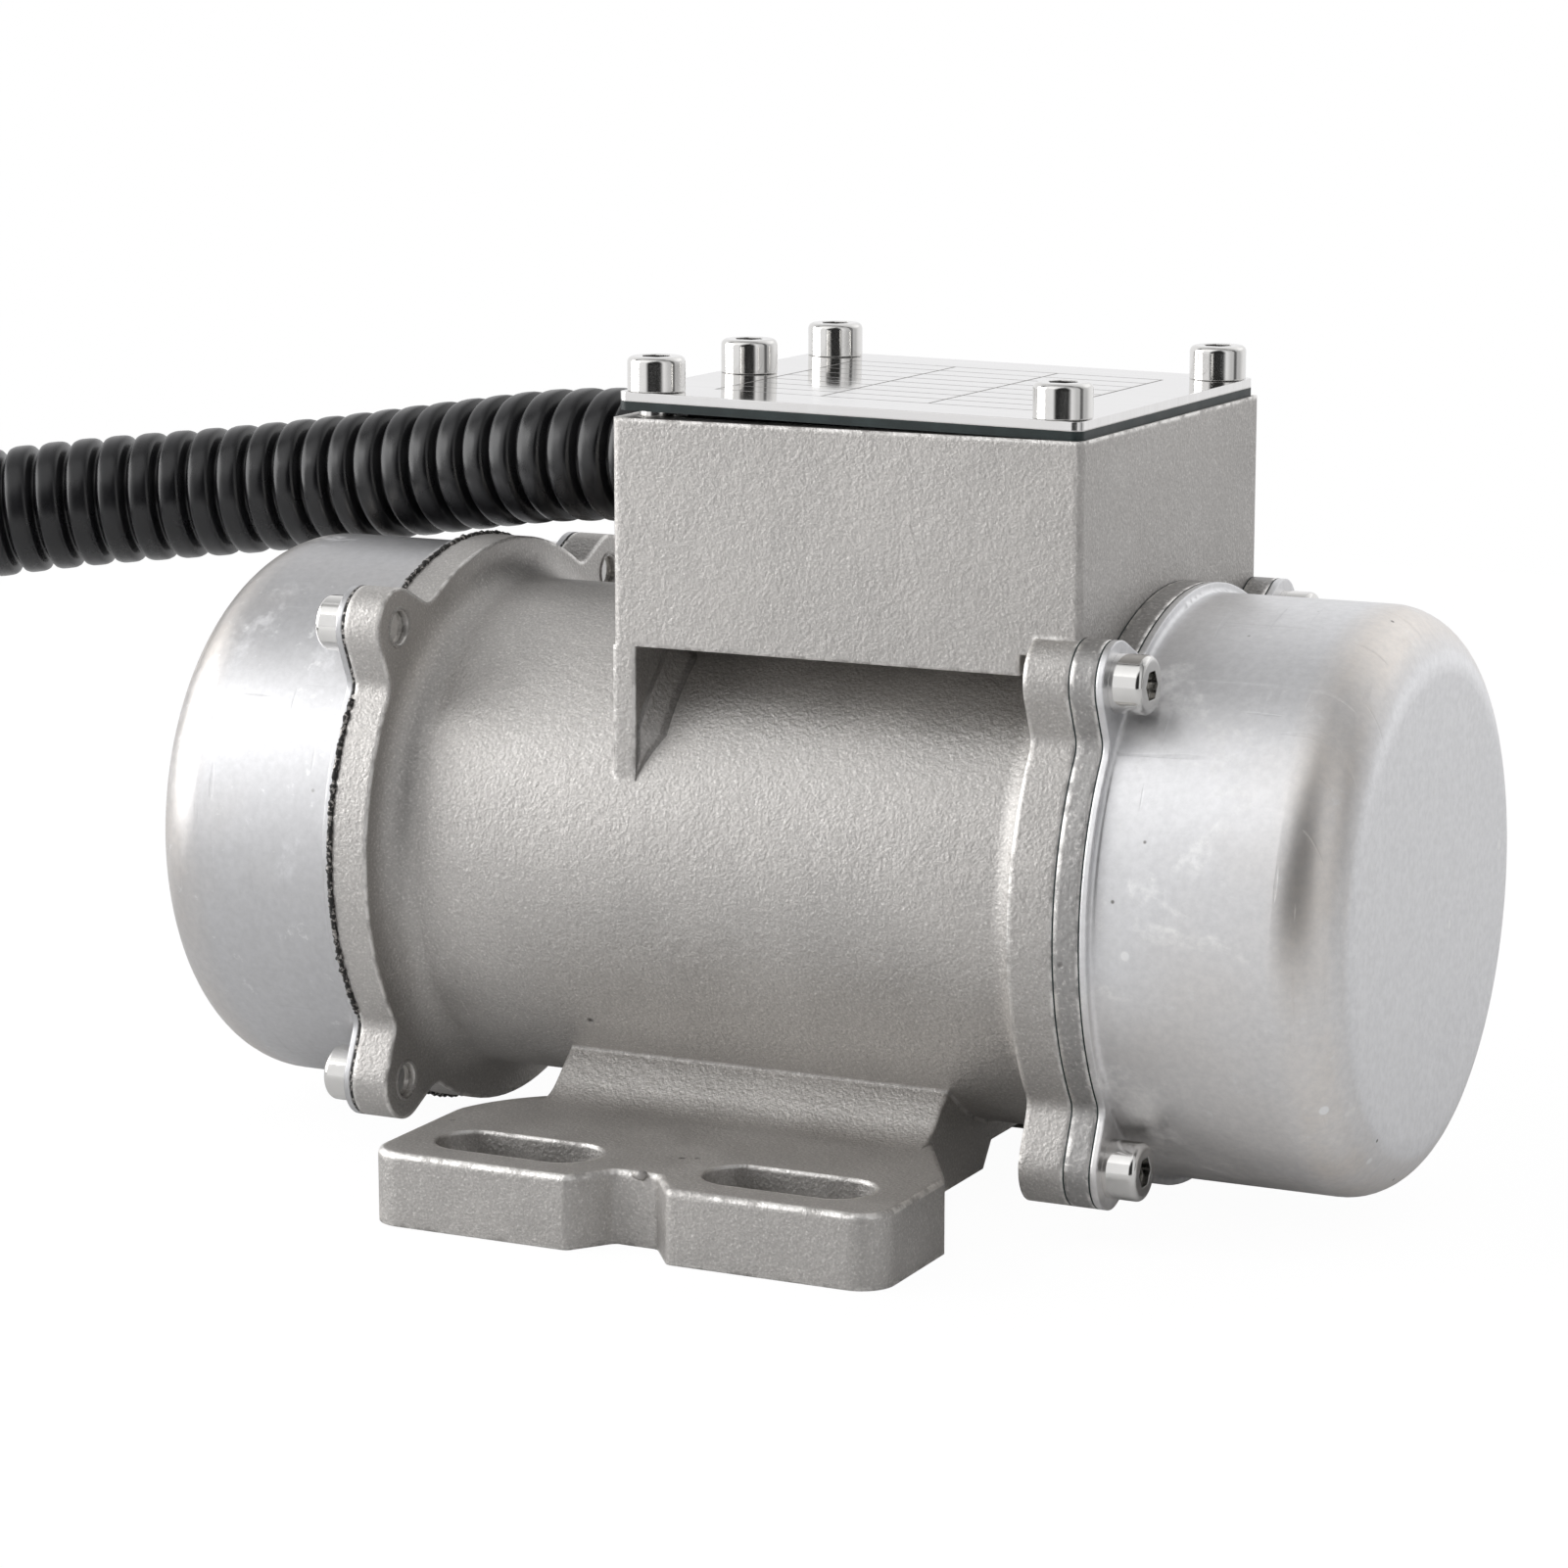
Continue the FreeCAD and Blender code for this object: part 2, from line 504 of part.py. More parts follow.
def foot(body):
    low = "-axis_height"
    plan = sketch(body, "XY_Plane", out=low)
    ring = []
    for turn in (1, -1):
        x, y = f"{turn} * ", f"{-turn} * "
        ends = [
            (f"{y}foot_half_width", "-notch_outer"),
            (f"{y}(foot_half_width - notch_depth)", "-notch_inner"),
            (f"{y}(foot_half_width - notch_depth)", "notch_inner"),
            (f"{y}foot_half_width", "notch_outer"),
            (f"{y}foot_half_width", "foot_half_length - foot_corner"),
        ]
        ring += [(f"{turn} * ({across})", up) for up, across in ends]
        corner = (f"{x}foot_half_length", f"{y}(foot_half_width - foot_corner)", "foot_corner", 1)
        if turn > 0:
            ring += [
                corner,
                ("foot_half_length", "-foot_side_y"),
                ("waist_half", "-waist_y"),
                ("waist_half", "waist_y"),
                ("foot_half_length", "foot_side_y"),
                ("foot_half_length", "foot_half_width - foot_corner"),
                ("foot_half_length - foot_corner", "foot_half_width", "foot_corner", 1),
            ]
        else:
            ring += [
                corner,
                ("-foot_half_length", "foot_side_y"),
                ("-waist_half", "waist_y", "side_bend", 1),
                ("-waist_half", "-waist_y"),
                ("-foot_half_length", "-foot_side_y", "side_bend", 1),
                ("-foot_half_length", "-foot_half_width + foot_corner"),
                ("-foot_half_length + foot_corner", "-foot_half_width", "foot_corner", 1),
            ]
    outline(plan, ring)
    pad(body, plan, "foot_thick")
    rounded(body, "notch_round", lambda e: abs(e.BoundBox.ZLength - size("foot_thick")) < 0.001
            and abs(e.Length - size("foot_thick")) < 0.001
            and abs(e.CenterOfMass.x) < size("notch_outer") + 0.01
            and abs(e.CenterOfMass.y) > size("foot_half_width - notch_depth") - 0.01)
    rounded(body, "foot_edge", lambda e: abs(e.BoundBox.ZLength) < 0.001
            and abs(e.CenterOfMass.z - size("foot_thick - axis_height")) < 0.001
            and all(abs(v.Y) > size("foot_side_y") - 0.01 for v in e.Vertexes))

    # The neck slopes from the barrel down to the foot plates and blends into them.
    rise = "(axis_height - foot_thick - sqrt(barrel_radius ^ 2 - neck_top_y ^ 2))"
    run = "(neck_foot_y - neck_top_y)"
    along = f"sqrt({rise} ^ 2 + {run} ^ 2)"
    bend = f"atan({rise} / {run})"
    plate = "-axis_height + foot_thick"
    neck = sketch(body, "YZ_Plane", out="-waist_half")
    slope_y = f"(neck_foot_y - neck_fillet * {run} / {along})"
    slope_z = f"{plate} + neck_fillet * {rise} / {along}"
    radius = f"neck_fillet / tan({bend} / 2)"
    top = "-sqrt(barrel_radius ^ 2 - neck_top_y ^ 2)"
    outline(neck, [
        ("-neck_foot_y - neck_fillet", plate, radius, -1),
        ("neck_foot_y + neck_fillet", plate),
        (slope_y, slope_z, radius, -1),
        ("neck_top_y", top),
        ("-neck_top_y", top),
        (f"-{slope_y}", slope_z),
    ])
    pad(body, neck, "2 * waist_half")

    channel = sketch(body, "YZ_Plane", out="-foot_half_length")
    wide = "channel_half + channel_draft"
    outline(channel, [
        ("-relief_half", low),
        ("-relief_half", f"{low} + relief_depth"),
        (f"-({wide})", f"{low} + relief_depth"),
        ("-channel_half", f"{low} + channel_top"),
        ("channel_half", f"{low} + channel_top"),
        (wide, f"{low} + relief_depth"),
        ("relief_half", f"{low} + relief_depth"),
        ("relief_half", low),
    ])
    pocket(body, channel, "2 * foot_half_length", Reversed=True)

    slots = sketch(body, "XY_Plane", out=f"{low} + foot_thick")
    for sx in (1, -1):
        for sy in (1, -1):
            reach = "(slot_length / 2 - slot_width / 2)"
            near_x, far_x = f"{sx} * slot_x - {reach}", f"{sx} * slot_x + {reach}"
            middle = f"{sy} * (foot_half_width - slot_edge)"
            low_y, high_y = f"{middle} - slot_width / 2", f"{middle} + slot_width / 2"
            outline(slots, [
                (near_x, low_y, "slot_width / 2", 1),
                (far_x, low_y),
                (f"{far_x} + slot_width / 2", middle, "slot_width / 2", 1),
                (far_x, high_y, "slot_width / 2", 1),
                (near_x, high_y),
                (f"{near_x} - slot_width / 2", middle, "slot_width / 2", 1),
            ])
    pocket(body, slots, "foot_thick")


def housing_bore(body):
    """Stator bore from the right, and the left bearing's seat in the closed end."""
    turned(body, [
        ("right_joint", "0"),
        ("right_joint", "bore_radius"),
        ("-left_joint + left_flange", "bore_radius"),
        ("-left_joint + left_flange", "bearing_hub"),
        (f"-left_joint + {SEAT_DEPTH} + shoulder", "bearing_hub"),
    ] + bearing_seat("-left_joint", 1) + [("-left_joint", "0")], kind="Groove")


def bearing_seat(face, inward):
    """Profile from the shoulder behind a bearing out past the groove of its retaining ring."""
    seat = "bearing_outer + seat_play"
    groove = "circlip_radius + seat_play"
    return [
        (f"{face} + {inward} * ({SEAT_DEPTH} + shoulder)", "shoulder_radius"),
        (f"{face} + {inward} * {SEAT_DEPTH}", "shoulder_radius"),
        (f"{face} + {inward} * {SEAT_DEPTH}", seat),
        (f"{face} + {inward} * (circlip_land + circlip_thick)", seat),
        (f"{face} + {inward} * (circlip_land + circlip_thick)", groove),
        (f"{face} + {inward} * circlip_land", groove),
        (f"{face} + {inward} * circlip_land", seat),
        (face, seat),
    ]


SHIELD_IN = "(right_joint + joint_gasket)"
SHIELD_OUT = "(right_joint + joint_gasket + shield_thick)"
LEFT_BRIM = "(left_joint + left_gasket)"
RIGHT_BRIM = f"({SHIELD_OUT} + joint_gasket)"


def bearing_shield():
    """Right end shield: rim with ears, spigot in the stator bore and the bearing's hub."""
    body = new_body("bearing_shield_right")
    spigot_end = f"{SHIELD_IN} - spigot"
    turned(body, [
        (SHIELD_OUT, "flange_radius"),
        (SHIELD_IN, "flange_radius"),
        (SHIELD_IN, "bore_radius - seat_play"),
        (spigot_end, "bore_radius - seat_play"),
        (spigot_end, "bore_radius - spigot_wall"),
        (SHIELD_IN, "bore_radius - spigot_wall"),
        (SHIELD_IN, "bearing_hub"),
        (f"{SHIELD_OUT} - {SEAT_DEPTH} - shoulder", "bearing_hub"),
    ] + bearing_seat(SHIELD_OUT, -1))
    ears(body, SHIELD_IN, "shield_thick")
    ear_roots(body, "shield_thick")
    ear_holes(body, SHIELD_IN, "shield_thick")


def rim_gasket(label, start, thickness, inner):
    body = new_body(label)
    turned(body, [
        (start, inner),
        (f"{start} + {thickness}", inner),
        (f"{start} + {thickness}", "flange_radius"),
        (start, "flange_radius"),
    ])
    ears(body, start, thickness)
    ear_roots(body, thickness)
    ear_holes(body, start, thickness)


def end_cap(label, side, brim, end):
    """Deep-drawn cap with a brim that follows the ears. side is 1 to the right, -1 to the left."""
    body = new_body(label)
    s = f"{side} * "
    turned(body, [
        (f"{s}{brim}", "cap_radius - cap_sheet"),
        (f"{s}{brim}", "flange_radius"),
        (f"{s}({brim} + cap_sheet)", "flange_radius"),
        (f"{s}({brim} + cap_sheet)", "cap_radius + brim_round"),
        (f"{s}({brim} + cap_sheet + brim_round)", "cap_radius", "brim_round", side),
        (f"{s}({end} - cap_round)", "cap_radius"),
        (f"{s}{end}", "cap_radius - cap_round", "cap_round", -side),
        (f"{s}{end}", "0"),
        (f"{s}({end} - cap_sheet)", "0"),
        (f"{s}({end} - cap_sheet)", "cap_radius - cap_round"),
        (f"{s}({end} - cap_round)", "cap_radius - cap_sheet", "cap_round - cap_sheet", side),
    ])
    start = brim if side > 0 else f"-({brim} + cap_sheet)"
    ears(body, start, "cap_sheet")
    ear_roots(body, "cap_sheet")
    ear_holes(body, start, "cap_sheet")


def hexagons(made, centres, radius):
    for across, up in centres:
        outline(made, [
            (f"{across} + {radius} * cos({turn})", f"{up} + {radius} * sin({turn})")
            for turn in range(0, 360, 60)
        ])


def socket_screws(label, plane, centres, seat, side, length):
    """Socket head screws of one kind; heads stand on the seat towards side."""
    body = new_body(label)
    heads = sketch(body, plane, out=seat)
    circles(heads, centres, "screw_head_radius")
    pad(body, heads, "screw_head_height", Reversed=side < 0)
    top = f"{seat} + {side} * screw_head_height"
    rounded(body, "screw_head_round", lambda e: len(e.Vertexes) == 1
            and abs(e.CenterOfMass.x * (plane == "YZ_Plane") + e.CenterOfMass.z * (plane != "YZ_Plane")
                    - size(top)) < 0.01)
    shanks = sketch(body, plane, out=seat)
    circles(shanks, centres, "screw_radius")
    pad(body, shanks, length, Reversed=side > 0)
    sockets = sketch(body, plane, out=top)
    hexagons(sockets, centres, "socket_radius")
    pocket(body, sockets, "socket_depth", Reversed=side < 0)


LID_SLOPE = "(lid_lift / (box_left + right_joint))"


def lid_level(x):
    """Underside of the lid's gasket above the shaft axis: it rests on the box at the right end only."""
    return f"box_top + {LID_SLOPE} * (right_joint - ({x}))"


def tilted_plate(body, under, thickness):
    """A plate over the box that rises to the left, between two levels above the gasket's underside."""
    left, right = "(-box_left + lid_margin)", "(right_joint - lid_margin)"
    side = sketch(body, "XZ_Plane")
    outline(side, [
        (left, f"{lid_level(left)} + {under}"),
        (right, f"{lid_level(right)} + {under}"),
        (right, f"{lid_level(right)} + {under} + {thickness}"),
        (left, f"{lid_level(left)} + {under} + {thickness}"),
    ])
    pad(body, side, "2 * (box_half_width - lid_margin)", Midplane=True)
    rounded(body, "lid_corner", lambda e: len(e.Vertexes) == 2
            and abs(e.Length - size(thickness)) < 0.01)
    holes = sketch(body, "XY_Plane", out="box_top")
    circles(holes, LID_SCREWS, "screw_radius + screw_clearance")
    pocket(body, holes)


def lid():
    plate = new_body("terminal_lid")
    tilted_plate(plate, "lid_gasket", "lid_thick")
    frame = new_body("lid_gasket")
    tilted_plate(frame, "0", "lid_gasket")
    window = sketch(frame, "XY_Plane", out="box_top")
    edge = "gasket_width"
    outline(window, [
        (f"-box_left + {edge} + lid_inset_x", f"-box_half_width + {edge}"),
        (f"right_joint - {edge} - lid_inset_x", f"-box_half_width + {edge}"),
        (f"right_joint - {edge} - lid_inset_x", f"box_half_width - {edge}"),
        (f"-box_left + {edge} + lid_inset_x", f"box_half_width - {edge}"),
    ])
    pocket(frame, window)
    seat = "lid_gasket + lid_thick"
    left_seat = f"{lid_level('-box_left + lid_inset_x - screw_head_radius')} + {seat}"
    right_seat = f"{lid_level('right_joint - lid_inset_x - screw_head_radius')} + {seat}"
    body = new_body("lid_screws")
    for centres, level in ((LID_SCREWS[:3], left_seat), (LID_SCREWS[3:], right_seat)):
        screws_upright(body, centres, level)


def screws_upright(body, centres, level):
    heads = sketch(body, "XY_Plane", out=level)
    circles(heads, centres, "screw_head_radius")
    pad(body, heads, "screw_head_height")
    top = f"{level} + screw_head_height"
    rounded(body, "screw_head_round", lambda e: len(e.Vertexes) == 1
            and abs(e.CenterOfMass.z - size(top)) < 0.01
            and abs(e.Length - 2 * math.pi * size("screw_head_radius")) < 0.01)
    shanks = sketch(body, "XY_Plane", out=level)
    circles(shanks, centres, "screw_radius")
    pad(body, shanks, "lid_screw_length", Reversed=True)
    sockets = sketch(body, "XY_Plane", out=top)
    hexagons(sockets, centres, "socket_radius")
    pocket(body, sockets, "socket_depth")


def conduit_fitting(label, thread):
    """Straight fitting along -X from its thread's shoulder at x = 0: hexagon, then a dome over the conduit."""
    body = new_body(label, raised=None)
    dome = "-(fitting_hex_length + fitting_body)"
    floor = f"({dome} + fitting_grip)"
    turned(body, [
        (thread, "cable_bore"),
        (thread, "thread_radius"),
        ("0", "thread_radius"),
        ("0", "fitting_hex * cos(30)"),
        ("-fitting_hex_length", "fitting_hex * cos(30)"),
        ("-fitting_hex_length", "fitting_body_radius - rim_round"),
        ("-fitting_hex_length - rim_round", "fitting_body_radius", "rim_round", -1),
        (f"{floor}", "fitting_body_radius"),
        (dome, "conduit_radius + conduit_play + rim_round"),
        (dome, "conduit_radius + conduit_play"),
        (floor, "conduit_radius + conduit_play"),
        (floor, "cable_bore"),
    ])
    flats = sketch(body, "YZ_Plane", out="-fitting_hex_length")
    hexagons(flats, [("0", "0")], "fitting_hex")
    circles(flats, [("0", "0")], "(thread_radius + cable_bore) / 2")
    pad(body, flats, "fitting_hex_length")
    return body


def point(x, y, z):
    return Vector(size(x), size(y), size(z))


# The conduit's corners: the first run leaves the entry fitting, the last one enters the end fitting.
DOME = "(fitting_hex_length + fitting_body - fitting_grip)"
ROUTE = [
    point(f"-box_left - {DOME}", "entry_y", "axis_height + entry_z"),
    point(f"-box_left - {DOME} - entry_run", "entry_y", "axis_height + entry_z"),
    Vector(-73.4, 24.1, 99.1),
    Vector(-110.4, 24.0, 93.2),
    Vector(-156.1, 9.5, 88.9),
    Vector(-195.2, -12.2, 80.7),
    Vector(-230.0, -41.3, 55.7),
    Vector(-250.0, -80.0, 33.0),
    Vector(-262.0, -122.0, 18.0),
    Vector(-263.0, -166.0, 10.9),
    Vector(-256.0, -205.0, 13.2),
]


def route_wire():
    """Straight runs joined by tangent arcs."""
    edges, start = [], ROUTE[0]
    for i in range(1, len(ROUTE) - 1):
        before, corner, after = ROUTE[i - 1:i + 2]
        back, ahead = before - corner, after - corner
        half_turn = (math.pi - back.getAngle(ahead)) / 2
        radius = 0.45 * min(back.Length, ahead.Length) / math.tan(half_turn)
        cut = radius * math.tan(half_turn)
        back.normalize()
        ahead.normalize()
        first, last = corner + back * cut, corner + ahead * cut
        middle_way = (back + ahead).normalize()
        middle = corner + middle_way * (radius / math.cos(half_turn) - radius)
        edges.append(Part.LineSegment(start, first).toShape())
        edges.append(Part.Arc(first, middle, last).toShape())
        start = last
        print(f"conduit corner {i}: radius {radius:.0f} mm, {radius / (2 * size('conduit_radius')):.1f} diameters")
    edges.append(Part.LineSegment(start, ROUTE[-1]).toShape())
    return Part.Wire(edges)


def conduit():
    wire = route_wire()
    away = (ROUTE[1] - ROUTE[0]).normalize()
    outer, inner = size("conduit_radius"), size("conduit_radius - conduit_wall")
    tubes = []
    for radius in (outer, inner):
        ring = Part.Wire(Part.makeCircle(radius, ROUTE[0], away))
        tubes.append(wire.makePipeShell([ring], True, False))
    tube = doc.addObject("Part::Feature", "conduit")
    tube.Shape = tubes[0].cut(tubes[1])
    keep(tube, "conduit")
    section = math.pi * (outer ** 2 - inner ** 2)
    print(f"conduit length {wire.Length:.1f} mm, volume {tube.Shape.Volume:.0f} against {section * wire.Length:.0f}")
    end = (ROUTE[-1] - ROUTE[-2]).normalize()
    turn = Rotation(Vector(1, 0, 0), end)
    shift = ROUTE[-1] + end * size(DOME)
    fitting = conduit_fitting("conduit_end_fitting", "fitting_thread_out")
    fitting.Placement = Placement(shift, turn)
    nut = new_body("conduit_lock_nut", raised=None)
    flats = sketch(nut, "YZ_Plane", out="fitting_thread_out - nut_thick - 2 * rim_round")
    hexagons(flats, [("0", "0")], "fitting_hex")
    circles(flats, [("0", "0")], "thread_radius + screw_clearance")
    pad(nut, flats, "nut_thick")
    nut.Placement = Placement(shift, turn)
    leads = new_body("supply_leads", raised=None)
    places = [(f"{a} * lead_spread", f"{b} * lead_spread") for a in (1, -1) for b in (1, -1)]
    wires = sketch(leads, "YZ_Plane", out=f"-{DOME} + screw_clearance")
    circles(wires, places, "lead_radius")
    pad(leads, wires, "lead_length")
    ferrules = sketch(leads, "YZ_Plane", out=f"-{DOME} + screw_clearance + lead_length")
    circles(ferrules, places, "ferrule_radius")
    pad(leads, ferrules, "ferrule_length")
    leads.Placement = Placement(shift, turn)
    entry = conduit_fitting("conduit_gland", "fitting_thread_in")
    place(entry, x="-box_left", y="entry_y", z="axis_height + entry_z")


def terminals():
    block = new_body("terminal_block")
    base = sketch(block, "XY_Plane", out="box_floor")
    x1, y1 = "(block_x + block_length)", "(block_y + block_width)"
    rectangle(base, "block_x", x1, "block_y", y1)
    pad(block, base, "block_height")
    grooves = sketch(block, "XY_Plane", out="box_floor + block_height")
    middle = "(block_x + block_length / 2)"
    for way in (1, -1):
        at = f"({middle} + {way} * stud_pitch_x / 2)"
        rectangle(grooves, f"{at} - barrier / 2", f"{at} + barrier / 2", "block_y", y1)
    pocket(block, grooves, "barrier_depth")
    centre_y = "(block_y + block_width / 2)"
    places = [(f"{middle} + {i} * stud_pitch_x", f"{centre_y} + {j} * stud_pitch_y / 2")
              for i in (-1, 0, 1) for j in (-1, 1)]
    sunk = sketch(block, "XY_Plane", out="box_floor + block_height")
    circles(sunk, places, "stud_radius")
    pocket(block, sunk, "barrier_depth")
    studs = new_body("terminal_studs")
    pins = sketch(studs, "XY_Plane", out="box_floor + block_height - barrier_depth")
    circles(pins, places, "stud_radius")
    pad(studs, pins, "barrier_depth + stud_height")
    earth = new_body("earth_screw")
    shank = sketch(earth, "XY_Plane", out="box_floor - earth_depth")
    circles(shank, [("earth_x", "earth_y")], "clamp_screw_radius")
    pad(earth, shank, "earth_depth")
    head = sketch(earth, "XY_Plane", out="box_floor")
    circles(head, [("earth_x", "earth_y")], "clamp_head_radius")
    pad(earth, head, "clamp_head_height")
    socket = sketch(earth, "XY_Plane", out="box_floor + clamp_head_height")
    hexagons(socket, [("earth_x", "earth_y")], "clamp_screw_radius * 0.85")
    pocket(earth, socket, "socket_depth")


def around(body, originals, count):
    """Repeat features evenly about the body's X axis."""
    pattern = body.newObject("PartDesign::PolarPattern", "PolarPattern")
    pattern.Originals = originals
    pattern.Axis = (origin_feature(body, "X_Axis"), [""])
    pattern.Angle = 360
    pattern.setExpression("Occurrences", bound(count))
    body.Tip = pattern
    return pattern


CORE_LEFT = "(core_centre - core_length / 2)"
CORE_RIGHT = "(core_centre + core_length / 2)"


def slot_outline(made, liner, mouth):
    """One stator slot, opening towards the bore along +Y."""
    inner = f"(stator_bore + slot_neck + {liner})"
    outer = f"(slot_floor - {liner})"
    corners = [
        (outer, f"slot_out_half - {liner}"),
        (inner, f"slot_in_half - {liner}"),
    ]
    if mouth:
        corners += [(inner, "slot_open_half"), ("stator_bore / 2", "slot_open_half"),
                    ("stator_bore / 2", "-slot_open_half"), (inner, "-slot_open_half")]
    corners += [(inner, f"-slot_in_half + {liner}"), (outer, f"-slot_out_half + {liner}")]
    outline(made, corners)


def stator():
    core = new_body("stator_core")
    turned(core, [
        (CORE_LEFT, "stator_bore"),
        (CORE_RIGHT, "stator_bore"),
        (CORE_RIGHT, "bore_radius - seat_play"),
        (CORE_LEFT, "bore_radius - seat_play"),
    ])
    cut = sketch(core, "YZ_Plane", out=CORE_LEFT)
    slot_outline(cut, "0", True)
    around(core, [pocket(core, cut, "core_length", Reversed=True)], "slot_count")
    coils = new_body("stator_windings")
    turned(coils, end_turns(f"({CORE_LEFT} - end_turn)", CORE_LEFT))
    bars = sketch(coils, "YZ_Plane", out=f"{CORE_LEFT} - end_turn / 2")
    slot_outline(bars, "slot_liner", False)
    around(coils, [pad(coils, bars, "core_length + end_turn")], "slot_count")
    turned(coils, end_turns(CORE_RIGHT, f"({CORE_RIGHT} + end_turn)"))
    leads = sketch(coils, "XY_Plane", out="(end_turn_inner + end_turn_outer) / 2")
    circles(leads, [("wire_hole_x", "0"), ("wire_hole_x", "3 * lead_radius"), ("wire_hole_x", "-3 * lead_radius")],
            "lead_radius")
    pad(coils, leads, "box_floor + clamp_head_height - (end_turn_inner + end_turn_outer) / 2")


def end_turns(left, right):
    r = "(2 * rim_round)"
    return [
        (f"{left} + {r}", "end_turn_inner"),
        (f"{right} - {r}", "end_turn_inner"),
        (right, f"end_turn_inner + {r}", r, 1),
        (right, f"end_turn_outer - {r}"),
        (f"{right} - {r}", "end_turn_outer", r, 1),
        (f"{left} + {r}", "end_turn_outer"),
        (left, f"end_turn_outer - {r}", r, 1),
        (left, f"end_turn_inner + {r}"),
        (f"{left} + {r}", "end_turn_inner", r, 1),
    ][:-1]


# The bearings: inward face of each, as x, and which way the motor's middle lies.
LEFT_SEAT = f"(-left_joint + {SEAT_DEPTH})"
RIGHT_SEAT = f"({SHIELD_OUT} - {SEAT_DEPTH})"
SIDES = [("left", LEFT_SEAT, -1), ("right", RIGHT_SEAT, 1)]


def ring_profile(low, high, inner, outer, inside):
    """Section of a bearing ring with its ball groove; inside tells the inner ring."""
    middle = f"(({low} + {high}) / 2)"
    reach = "sqrt((ball_radius + race_play) ^ 2 - (ball_pitch - bearing_bore - ring_wall) ^ 2)"
    groove = "ball_radius + race_play"
    if inside:
        return [(low, inner), (high, inner), (high, outer), (f"{middle} + {reach}", outer),
                (f"{middle} - {reach}", outer, groove, -1), (low, outer)]
    return [(low, outer), (low, inner), (f"{middle} - {reach}", inner),
            (f"{middle} + {reach}", inner, groove, -1), (high, inner), (high, outer)]


def retaining_ring(body, start, thickness, inner, outer, gap_up, half_gap):
    """Open spring ring; gap_up is 1 for a gap at the top and -1 for one at the bottom."""
    turned(body, [
        (start, inner),
        (f"{start} + {thickness}", inner),
        (f"{start} + {thickness}", outer),
        (start, outer),
    ])
    gap = sketch(body, "YZ_Plane", out=start)
    far = f"{gap_up} * 2 * ({outer})"
    low, high = ("0", far) if gap_up > 0 else (far, "0")
    rectangle(gap, f"-{half_gap}", half_gap, low, high)
    pocket(body, gap, thickness, Reversed=True)


def bearings():
    for name, seat, side in SIDES:
        far = f"({seat} + {side} * bearing_width)"
        low, high = (far, seat) if side < 0 else (seat, far)
        outer = new_body(f"bearing_outer_{name}")
        turned(outer, ring_profile(low, high, "bearing_outer - ring_wall", "bearing_outer", False))
        inner = new_body(f"bearing_inner_{name}")
        turned(inner, ring_profile(low, high, "bearing_bore", "bearing_bore + ring_wall", True))
        middle = f"({seat} + {side} * bearing_width / 2)"
        cage = new_body(f"bearing_cage_{name}")
        turned(cage, [
            (f"{middle} - cage_width / 2", "ball_pitch - cage_wall / 2"),
            (f"{middle} + cage_width / 2", "ball_pitch - cage_wall / 2"),
            (f"{middle} + cage_width / 2", "ball_pitch + cage_wall / 2"),
            (f"{middle} - cage_width / 2", "ball_pitch + cage_wall / 2"),
        ])
        hole = sketch(cage, "XY_Plane", out="bearing_outer")
        circles(hole, [(middle, "0")], "ball_radius + pocket_play")
        around(cage, [pocket(cage, hole, "bearing_outer")], "8")
        balls = new_body(f"bearing_balls_{name}")
        ball = balls.newObject("PartDesign::AdditiveSphere", "Ball")
        bind(ball, Radius="ball_radius")
        ball.setExpression("AttachmentOffset.Base.x", bound(middle))
        ball.setExpression("AttachmentOffset.Base.z", bound("ball_pitch"))
        ball.AttachmentSupport = (origin_feature(balls, "XY_Plane"), [""])
        ball.MapMode = "FlatFace"
        around(balls, [ball], "8")
        clip = new_body(f"bearing_circlip_{name}")
        start = far if side > 0 else f"({far} - circlip_thick)"
        retaining_ring(clip, start, "circlip_thick", "circlip_radius - circlip_width", "circlip_radius", -1,
                       "circlip_gap")


